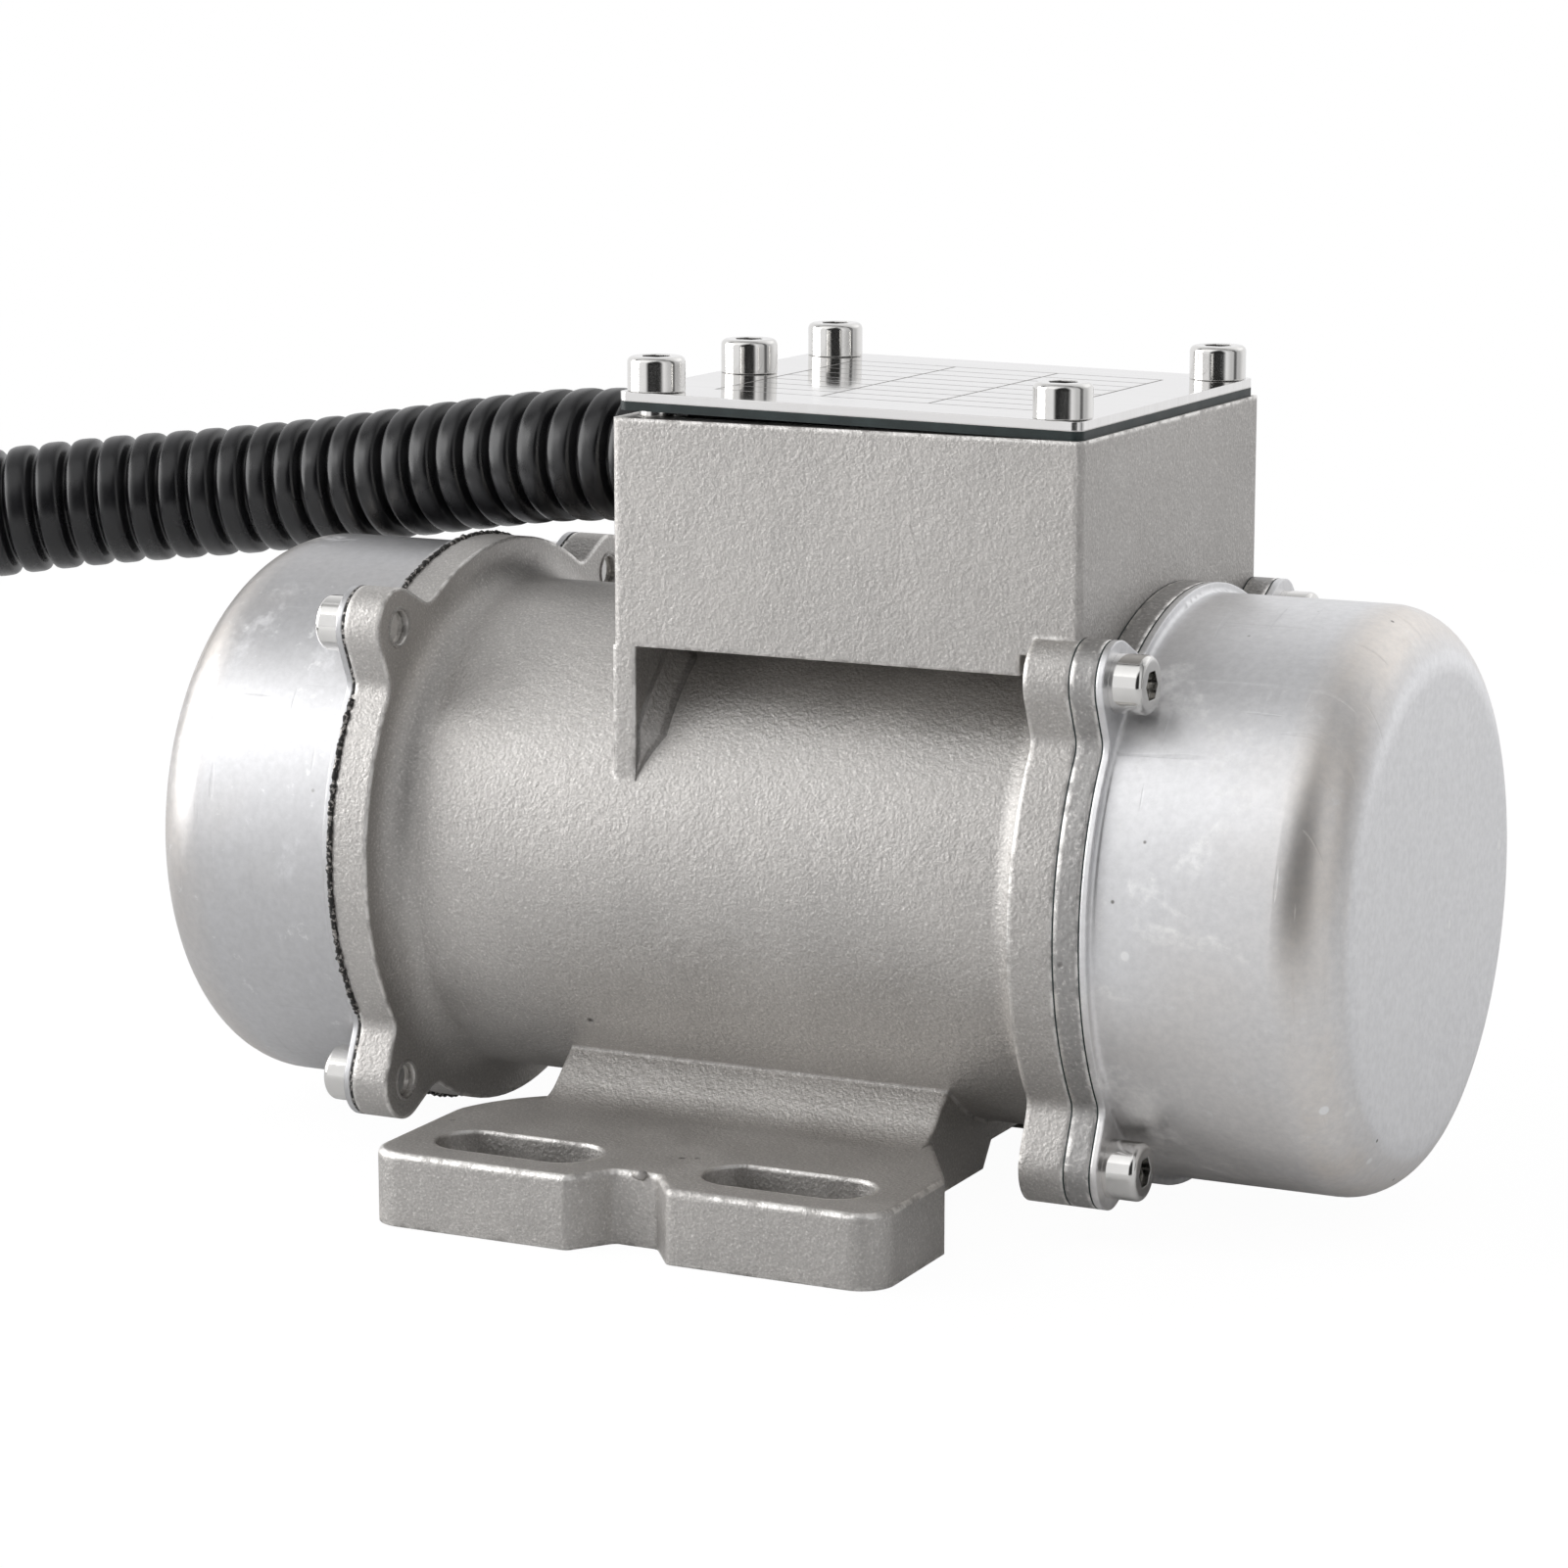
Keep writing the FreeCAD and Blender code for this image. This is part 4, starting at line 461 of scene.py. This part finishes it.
# Heights of the feet's upper face, and of the line where the neck's slope meets the barrel
FOOT_TOP, NECK_TOP = 11.0 * MM, 17.4 * MM
# How far below the feet's top face the painted rim highlight starts and is full, and how far above
# it stops; then where the rubbed edges and that highlight fade near the neck's line, and how faint
# they get
RIM_LOW, RIM_FULL, RIM_PAST = 1.3 * MM, 0.8 * MM, 0.1 * MM
NECK_NEAR, NECK_FAR, NECK_WEAR_AND_HIGHLIGHT = 0.7 * MM, 1.5 * MM, 0.12
SAND_COLOUR = (0.88, 0.86, 0.83)
NICK_COLOUR = (0.95, 0.93, 0.90)
# Colour of the rubbed edges, and of the painted highlight on the feet's upper rim
WORN_AND_HIGHLIGHT_COLOUR = (0.97, 0.95, 0.92)
PIT_COLOUR = (0.09, 0.085, 0.08)


def foot_rim_highlight(t, wear_and_highlight):
    """Painted highlight along the upper rim of the feet: by height, and by how the surface tilts.
    """
    place, facing = t.axes(t.coord), t.axes(t.normal_of_surface())
    rim = t.times(t.span(facing["Z"], 0.12, 0.35), t.span(facing["Z"], 0.985, 0.90))
    rim = t.times(rim, t.span(place["Z"], FOOT_TOP - RIM_LOW, FOOT_TOP - RIM_FULL))
    rim = t.times(rim, t.math("LESS_THAN", place["Z"], FOOT_TOP + RIM_PAST))
    return t.times(rim, t.span(t.noise(330.0, 3.0), 0.40, 0.55, 0.0, wear_and_highlight))


def off_neck(t):
    """Little edge rubbing and painted highlight on the blunt edge where the neck meets the barrel,
    and all of both elsewhere.
    """
    height = t.axes(t.coord)["Z"]
    gap = t.math("ABSOLUTE", t.math("SUBTRACT", height, NECK_TOP))
    return t.span(gap, NECK_NEAR, NECK_FAR, NECK_WEAR_AND_HIGHLIGHT, 1.0)


def cast_metal(name, tone, rough, grain, wear_and_highlight=1.0):
    """Bead-blasted investment casting: fine orange-peel grain, faint stains, bright rubbed edges,
    painted rim highlight.
    """
    t = Surface(name)
    bevel = t.bevel(1.1 * MM)
    stain = t.noise(22.0, 5.0, 0.6)
    cloud = t.noise(95.0, 4.0, 0.6)
    fleck = t.noise(grain * 0.55, 3.0, 0.65)
    sand = t.span(t.noise(grain * 1.25, 2.0, 0.6), 0.28, 0.72)
    shade = t.times(t.math("SUBTRACT", 1.0, sand), 0.42)
    nick = t.noise(150.0, 2.0, 0.5, at=t.stretch(0.5, 0.5, 1.7))
    worn_and_highlight = t.times(t.edge(bevel), t.span(t.noise(420.0, 3.0), 0.38, 0.55, 0.0, wear_and_highlight))
    # Painted highlight on the feet's upper rim, joined to the rubbed edges; both fade near the
    # neck's line
    worn_and_highlight = t.times(t.greater(worn_and_highlight, foot_rim_highlight(t, wear_and_highlight)), off_neck(t))
    pit = t.times(t.span(t.cells(150.0), 0.10, 0.03), t.span(t.noise(60.0), 0.62, 0.70))

    colour = t.mix(t.span(stain, 0.35, 0.68), toned(tone, 0.86), tone)
    for share, over in (
        (t.span(cloud, 0.42, 0.75, 0.0, 0.6), toned(tone, 1.10)),
        (t.span(fleck, 0.62, 0.82, 0.0, 0.25), toned(tone, 1.3)),
        (shade, toned(tone, 0.45)),
        (t.span(sand, 0.70, 1.0, 0.0, 0.40), SAND_COLOUR),
        (t.span(nick, 0.765, 0.785, 0.0, 0.40), NICK_COLOUR),
        (worn_and_highlight, WORN_AND_HIGHLIGHT_COLOUR),
        (pit, PIT_COLOUR),
    ):
        colour = t.mix(share, colour, over)

    roughness = t.math("SUBTRACT", t.span(cloud, 0.3, 0.75, rough - 0.05, rough + 0.07),
                       t.times(worn_and_highlight, 0.16))
    peel = t.plus(t.noise(grain, 2.0, 0.5), t.times(t.noise(grain * 0.4, 2.0, 0.5), 1.1))
    normal = t.bump(t.noise(70.0, 3.0, 0.5), 0.5 * MM, 0.35, bevel)
    normal = t.bump(peel, 0.13 * MM, 0.75, normal)
    normal = t.bump(pit, -0.25 * MM, 0.8, normal)
    return t.done(colour, roughness, normal, 1.0)


CAP_BEND_START, CAP_BEND_FULL = 85 * MM, 90 * MM
CAP_BEND_ENDS, CAP_BEND_GONE = 94 * MM, 96.2 * MM
# Where the painted light on the cap's flat end face starts and is full, out along X
CAP_LIT_FACE_START, CAP_LIT_FACE_FULL = 95.6 * MM, 96.1 * MM


def drawn_sheet(name, tone):
    """Deep-drawn stainless: satin, cloudy whitish patches, fine scratches, slight waves, painted
    light on the end face.
    """
    t = Surface(name)
    cloud = t.noise(34.0, 6.0, 0.62, distortion=0.5)
    patch = t.times(t.span(cloud, 0.54, 0.64), t.span(t.noise(140.0, 5.0, 0.7), 0.40, 0.62))
    speck = t.span(t.noise(300.0, 4.0, 0.7), 0.63, 0.72)
    streak = t.noise(8.0, 3.0, 0.5, at=t.stretch(60.0, 3.0, 3.0))
    scratch = t.greater(
        t.span(t.noise(40.0, 1.0, 0.5, at=t.stretch(1.0, 26.0, 1.6)), 0.70, 0.73),
        t.span(t.noise(40.0, 1.0, 0.5, at=t.stretch(24.0, 1.4, 2.0)), 0.71, 0.735))
    stain = t.span(t.noise(48.0, 5.0, 0.65, distortion=0.8), 0.56, 0.60)
    stain = t.times(stain, t.span(t.noise(420.0, 4.0, 0.7), 0.42, 0.60))
    stain = t.times(stain, t.span(t.noise(13.0, 1.0), 0.38, 0.50))
    mottle = t.span(t.noise(900.0, 3.0, 0.65), 0.34, 0.66)
    pit = t.times(t.span(t.cells(110.0), 0.040, 0.020), t.span(t.noise(30.0, 1.0), 0.46, 0.52))
    dot = t.times(t.span(t.cells(70.0, t.stretch(1.0, 1.0, 0.9)), 0.060, 0.045),
                  t.span(t.noise(21.0, 1.0), 0.50, 0.54))
    # A warmer tint in places, most of all at the bend to the end face
    along = t.math("ABSOLUTE", t.axes(t.coord)["X"])
    bend = t.times(t.span(along, CAP_BEND_START, CAP_BEND_FULL),
                   t.span(along, CAP_BEND_GONE, CAP_BEND_ENDS))
    bend = t.times(bend, t.span(t.noise(60.0, 4.0), 0.3, 0.6, 0.4, 1.0))
    warm = t.greater(t.span(t.noise(18.0, 3.0, 0.6), 0.48, 0.66, 0.0, 0.45), bend)
    warm_tone = (tone[0] * 0.96, tone[1] * 0.91, tone[2] * 0.85)

    colour = t.mix(t.span(streak, 0.3, 0.7, 0.0, 0.35), tone, toned(tone, 0.9))
    for share, over in (
        (t.times(patch, 0.5), toned(tone, 1.12)),
        (t.times(stain, 0.95), toned(tone, 1.2)),
        (warm, warm_tone),
        # Painted light: the flat end face is drawn lighter than the cap's sides
        (t.span(along, CAP_LIT_FACE_START, CAP_LIT_FACE_FULL), toned(tone, 1.08)),
        (t.times(speck, 0.5), (0.95, 0.95, 0.95)),
        (pit, (0.22, 0.21, 0.20)),
        (t.times(t.math("SUBTRACT", 1.0, mottle), 0.22), toned(tone, 0.6)),
        (dot, (0.98, 0.98, 0.98)),
    ):
        colour = t.mix(share, colour, over)

    roughness = t.span(patch, 0.0, 1.0, 0.40, 0.48)
    for more in (t.times(t.greater(stain, dot), 0.18),
                 t.span(t.noise(55.0, 4.0), 0.3, 0.7, -0.03, 0.05),
                 t.times(scratch, 0.10)):
        roughness = t.plus(roughness, more)
    normal = t.bump(t.noise(26.0, 2.0, 0.4), 0.6 * MM, 0.25, t.bevel(0.4 * MM))
    normal = t.bump(t.noise(1500.0, 2.0, 0.6), 0.012 * MM, 0.6, normal)
    normal = t.bump(scratch, -0.02 * MM, 0.5, normal)
    return t.done(colour, roughness, normal, 1.0)


def polished(name, tone, rough):
    """Bright turned screws with faint smears."""
    t = Surface(name)
    streak = t.noise(30.0, 2.0, 0.5, at=t.stretch(40.0, 40.0, 2.0))
    smear = t.noise(180.0, 4.0, 0.6)
    colour = t.mix(t.span(smear, 0.35, 0.7, 0.0, 0.5), tone, toned(tone, 0.84))
    return t.done(colour, t.span(streak, 0.3, 0.7, rough * 0.7, rough * 1.5),
                  t.bump(smear, 0.02 * MM, 0.3, t.bevel(0.25 * MM)), 1.0)


# Nameplate in the lid: its left and front edges, its size, and how it is ruled
PLATE_LEFT, PLATE_FRONT = -7.0 * MM, -24.0 * MM
PLATE_LONG, PLATE_DEEP = 51.0 * MM, 48.0 * MM
PLATE_ROWS, PLATE_COLUMNS = 8, 3
RULE_HALF = 0.22 * MM


def rules(t):
    """Where the etched lines of the nameplate are; its fields stay empty."""
    corner = (-PLATE_LEFT, -PLATE_FRONT, 0.0)
    place = t.axes(t.add("Mapping", None, Vector=t.coord, Location=corner))
    sides = {"X": PLATE_LONG, "Y": PLATE_DEEP}
    found = 0.0
    for axis, parts in (("X", PLATE_COLUMNS), ("Y", PLATE_ROWS)):
        off = t.math("PINGPONG", place[axis], sides[axis] / parts / 2)
        line = t.math("LESS_THAN", off, RULE_HALF)
        for side, size in sides.items():
            from_middle = t.math("ABSOLUTE", t.math("SUBTRACT", place[side], size / 2))
            line = t.times(line, t.math("LESS_THAN", from_middle, size / 2 + RULE_HALF))
        found = t.greater(found, line)
    return found


def lid_sheet(name):
    """Bright rolled sheet with light scratches, and the etched rules of a nameplate."""
    t = Surface(name)
    roll = t.noise(30.0, 3.0, 0.6, at=t.stretch(1.0, 30.0, 1.0))
    scuff = t.span(t.noise(60.0, 4.0, 0.65, at=t.stretch(1.0, 8.0, 1.0)), 0.55, 0.72)
    rule = rules(t)
    colour = t.mix(t.span(roll, 0.3, 0.7, 0.0, 0.5), (0.80, 0.79, 0.78), (0.70, 0.69, 0.68))
    colour = t.mix(t.times(rule, 0.9), colour, (0.16, 0.15, 0.14))
    colour = t.mix(t.times(scuff, 0.4), colour, (0.9, 0.9, 0.9))
    roughness = t.plus(t.span(roll, 0.3, 0.7, 0.05, 0.10), t.times(scuff, 0.10))
    roughness = t.plus(roughness, t.times(rule, 0.35))
    return t.done(colour, roughness, t.bump(roll, 0.01 * MM, 0.5, t.bevel(0.3 * MM)), 1.0)


def rubber(name, tone, rough):
    """Matt, with a little dust."""
    t = Surface(name)
    dust = t.noise(240.0, 4.0, 0.6)
    colour = t.mix(t.span(dust, 0.45, 0.75, 0.0, 0.6), tone, toned(tone, 2.2, 0.01))
    return t.done(colour, t.span(dust, 0.3, 0.7, rough - 0.06, rough + 0.08),
                  t.bump(t.noise(1400.0, 2.0), 0.03 * MM, 0.5))


def sealant(name):
    """Dark compound with metal grit in it."""
    t = Surface(name)
    grit = t.span(t.noise(1500.0, 2.0, 0.6), 0.52, 0.60)
    colour = t.mix(grit, (0.016, 0.015, 0.014), (0.42, 0.40, 0.38))
    return t.done(colour, t.span(grit, 0.0, 1.0, 0.60, 0.35), t.bump(grit, 0.08 * MM, 0.6),
                  t.times(grit, 0.8))


def plastic(name, tone, rough):
    """Moulded, with an uneven film on it."""
    t = Surface(name)
    film = t.noise(90.0, 4.0, 0.6)
    colour = t.mix(t.span(film, 0.35, 0.75), tone, toned(tone, 1.5, 0.004))
    return t.done(colour, t.span(film, 0.3, 0.7, rough - 0.05, rough + 0.07),
                  t.bump(t.noise(1700.0, 2.0, 0.6), 0.012 * MM, 0.5))


def plain_metal(name, tone, rough):
    """Machined or cast pieces inside the motor, slightly cloudy."""
    t = Surface(name)
    cloud = t.noise(160.0, 4.0, 0.6)
    colour = t.mix(t.span(cloud, 0.35, 0.7), toned(tone, 0.85), tone)
    return t.done(colour, t.span(cloud, 0.3, 0.7, rough - 0.05, rough + 0.08),
                  t.bump(t.noise(1200.0, 2.0), 0.01 * MM, 0.5), 1.0)


# Finish by name: the function that makes it, then the tone, roughness, grain, and the edge rubbing
# with painted rim highlight that it takes. cast_hollow, and the left cap's darker copy of
# drawn_cap, which is painted shade, are for single pieces; the others are the record's slots.
FINISHES = {
    "cast_housing": (cast_metal, (0.645, 0.625, 0.603), 0.54, 2100.0),
    "cast_hollow": (cast_metal, (0.60, 0.58, 0.56), 0.54, 2100.0, 0.0),
    "cast_shield": (cast_metal, (0.50, 0.49, 0.48), 0.50, 1300.0),
    "drawn_cap": (drawn_sheet, (0.87, 0.87, 0.88)),
    # A darker copy of drawn_cap for the left cap: painted shade
    "drawn_cap_dull": (drawn_sheet, (0.62, 0.62, 0.63)),
    "lid_plate": (lid_sheet,),
    "polished_screw": (polished, (0.80, 0.79, 0.77), 0.10),
    "dark_gasket": (rubber, (0.012, 0.022, 0.022), 0.45),
    "sealing_compound": (sealant,),
    "black_conduit": (plastic, (0.0045, 0.0045, 0.0055), 0.27),
    "black_fitting": (plastic, (0.010, 0.010, 0.011), 0.42),
    "lead_insulation": (plastic, (0.012, 0.012, 0.012), 0.30),
    "core_sheets": (plain_metal, (0.32, 0.32, 0.33), 0.45),
    "copper_coils": (plain_metal, (0.70, 0.32, 0.14), 0.35),
    "cage_aluminium": (plain_metal, (0.76, 0.76, 0.77), 0.40),
    "bearing_steel": (plain_metal, (0.66, 0.66, 0.67), 0.15),
    "spring_steel": (plain_metal, (0.18, 0.18, 0.19), 0.40),
    "shaft_steel": (plain_metal, (0.60, 0.60, 0.61), 0.25),
    "weight_steel": (plain_metal, (0.45, 0.45, 0.46), 0.38),
    "block_plastic": (plastic, (0.60, 0.57, 0.45), 0.45),
    "stud_brass": (plain_metal, (0.76, 0.58, 0.26), 0.25),
}
MATERIALS = {name: make(name, *values) for name, (make, *values) in FINISHES.items()}


def dress(obj, name):
    """Gives an object one of the materials, by the finish's name."""
    obj.data.materials.clear()
    obj.data.materials.append(MATERIALS[name])


for sub in frame["record"]["subparts"]:
    dress(nodes[sub["node"]], sub["material_slot"])
# The left cap takes the darker copy of the cap's finish, which is painted shade
dress(nodes["end_cap_left"], "drawn_cap_dull")
dress(conduit, "black_conduit")
for piece in beads:
    dress(piece, "sealing_compound")
for piece in cast_bits:
    dress(piece, "cast_hollow")

# Floor: pale, and white to the camera but for a little of the object's shadow
FLOOR_SIZE, FLOOR_UNDER = 1.3, 0.2 * MM
FLOOR_TONE, FLOOR_GLOW, FLOOR_GLOW_SHARE = 0.83, 1.03, 0.94

h = FLOOR_SIZE / 2
floor_mesh = bpy.data.meshes.new("floor")
floor_mesh.from_pydata([(-h, -h, 0), (h, -h, 0), (h, h, 0), (-h, h, 0)], [], [(0, 1, 2, 3)])
floor = bpy.data.objects.new("floor", floor_mesh)
floor.location = (0, 0, -FLOOR_UNDER)
scene.collection.objects.link(floor)
floor_mat = bpy.data.materials.new("floor")
floor_mat.use_nodes = True
g = Graph(floor_mat.node_tree)
to_camera = g.node("LightPath").outputs["Is Camera Ray"]
g.node("OutputMaterial", None, Surface=g.add(
    "MixShader", None,
    i0=g.times(to_camera, FLOOR_GLOW_SHARE),
    i1=g.add("BsdfDiffuse", None, Color=(FLOOR_TONE,) * 3),
    i2=g.add("Emission", None, Color=(1, 1, 1), Strength=FLOOR_GLOW)))
floor_mesh.materials.append(floor_mat)

# World: white to the camera. To the object it is a pale studio, darker on the reader's side and
# overhead, with dark gaps between the light panels.
DIM_WAY, DIM_FLATTEN = (0.33, -0.944, 0.03), (1.0, 1.0, 0.42)
DIM_STOPS = ((0.79, (0.97, 0.97, 0.98, 1)), (0.925, (0.03, 0.03, 0.03, 1)))
# Share of the way round, from the rear over the left, the reader's side and the right, and how
# bright it is there
GAP_STOPS = (
    (0.235, 1.0), (0.262, 0.06), (0.300, 0.06), (0.325, 1.0), (0.66, 1.0), (0.71, 0.66),
    (0.742, 0.66), (0.758, 0.14), (0.782, 0.14), (0.798, 0.60), (0.84, 0.60), (0.90, 1.0),
)
HIGH_FROM, HIGH_TO = 0.55, 0.95
LOW_STRENGTH, HIGH_STRENGTH = 0.96, 0.48
WHITE = (1, 1, 1, 1)

world = bpy.data.worlds.new("studio")
scene.world = world
world.use_nodes = True
g = Graph(world.node_tree)
way = g.node("TexCoord").outputs["Generated"]
flat_way = g.add("VectorMath", {"operation": "NORMALIZE"},
                 i0=g.add("Mapping", None, Vector=way, Scale=DIM_FLATTEN))
dim = g.node("VectorMath", {"operation": "DOT_PRODUCT"}, i0=flat_way, i1=DIM_WAY)
panels = g.node("ValToRGB", None, i0=dim.outputs["Value"])
panels.color_ramp.interpolation = "EASE"
for element, (place, tone) in zip(panels.color_ramp.elements, DIM_STOPS):
    element.position, element.color = place, tone
way_axes = g.axes(way)
turn = g.math("ARCTAN2", way_axes["X"], g.times(way_axes["Y"], -1.0))
gaps = g.node("ValToRGB", None, i0=g.add("MapRange", None, i0=turn, i1=-math.pi, i2=math.pi))
for place, tone in GAP_STOPS:
    gaps.color_ramp.elements.new(place).color = (tone, tone, tone, 1)
gaps.color_ramp.elements[0].color = WHITE
studio = g.node("Mix", {"data_type": "RGBA", "blend_type": "MULTIPLY"}, i0=1.0,
                i6=panels.outputs[0], i7=gaps.outputs[0])
strength = g.span(way_axes["Z"], HIGH_FROM, HIGH_TO, LOW_STRENGTH, HIGH_STRENGTH)
g.node("OutputWorld", None, Surface=g.add(
    "MixShader", None,
    i0=g.node("LightPath").outputs["Is Camera Ray"],
    i1=g.add("Background", None, Color=studio.outputs[2], Strength=strength),
    i2=g.add("Background", None, Color=WHITE, Strength=1.0)))

# Lamps: azimuth and elevation in degrees, distance, width, height, power, and what it looks at
LAMPS = {
    "key_left": (-68, 18, 0.64, 0.50, 0.46, 2.5, (0, 0, 0.05)),
    "overhead_left": (-34, 55, 1.6, 1.8, 1.2, 3.2, (0, 0, 0.05)),
    "back_right": (150, 58, 1.2, 1.3, 1.3, 1.4, (0.2, 0.22, 0)),
}

for name, (azimuth, elevation, distance, width, height, power, target) in LAMPS.items():
    back = away(math.radians(azimuth), math.radians(elevation))
    lamp = bpy.data.lights.new(name, "AREA")
    lamp.shape, lamp.size, lamp.size_y, lamp.energy = "RECTANGLE", width, height, power
    obj = bpy.data.objects.new(name, lamp)
    obj.location = Vector(target) + back * distance
    aim(obj, back)
    scene.collection.objects.link(obj)
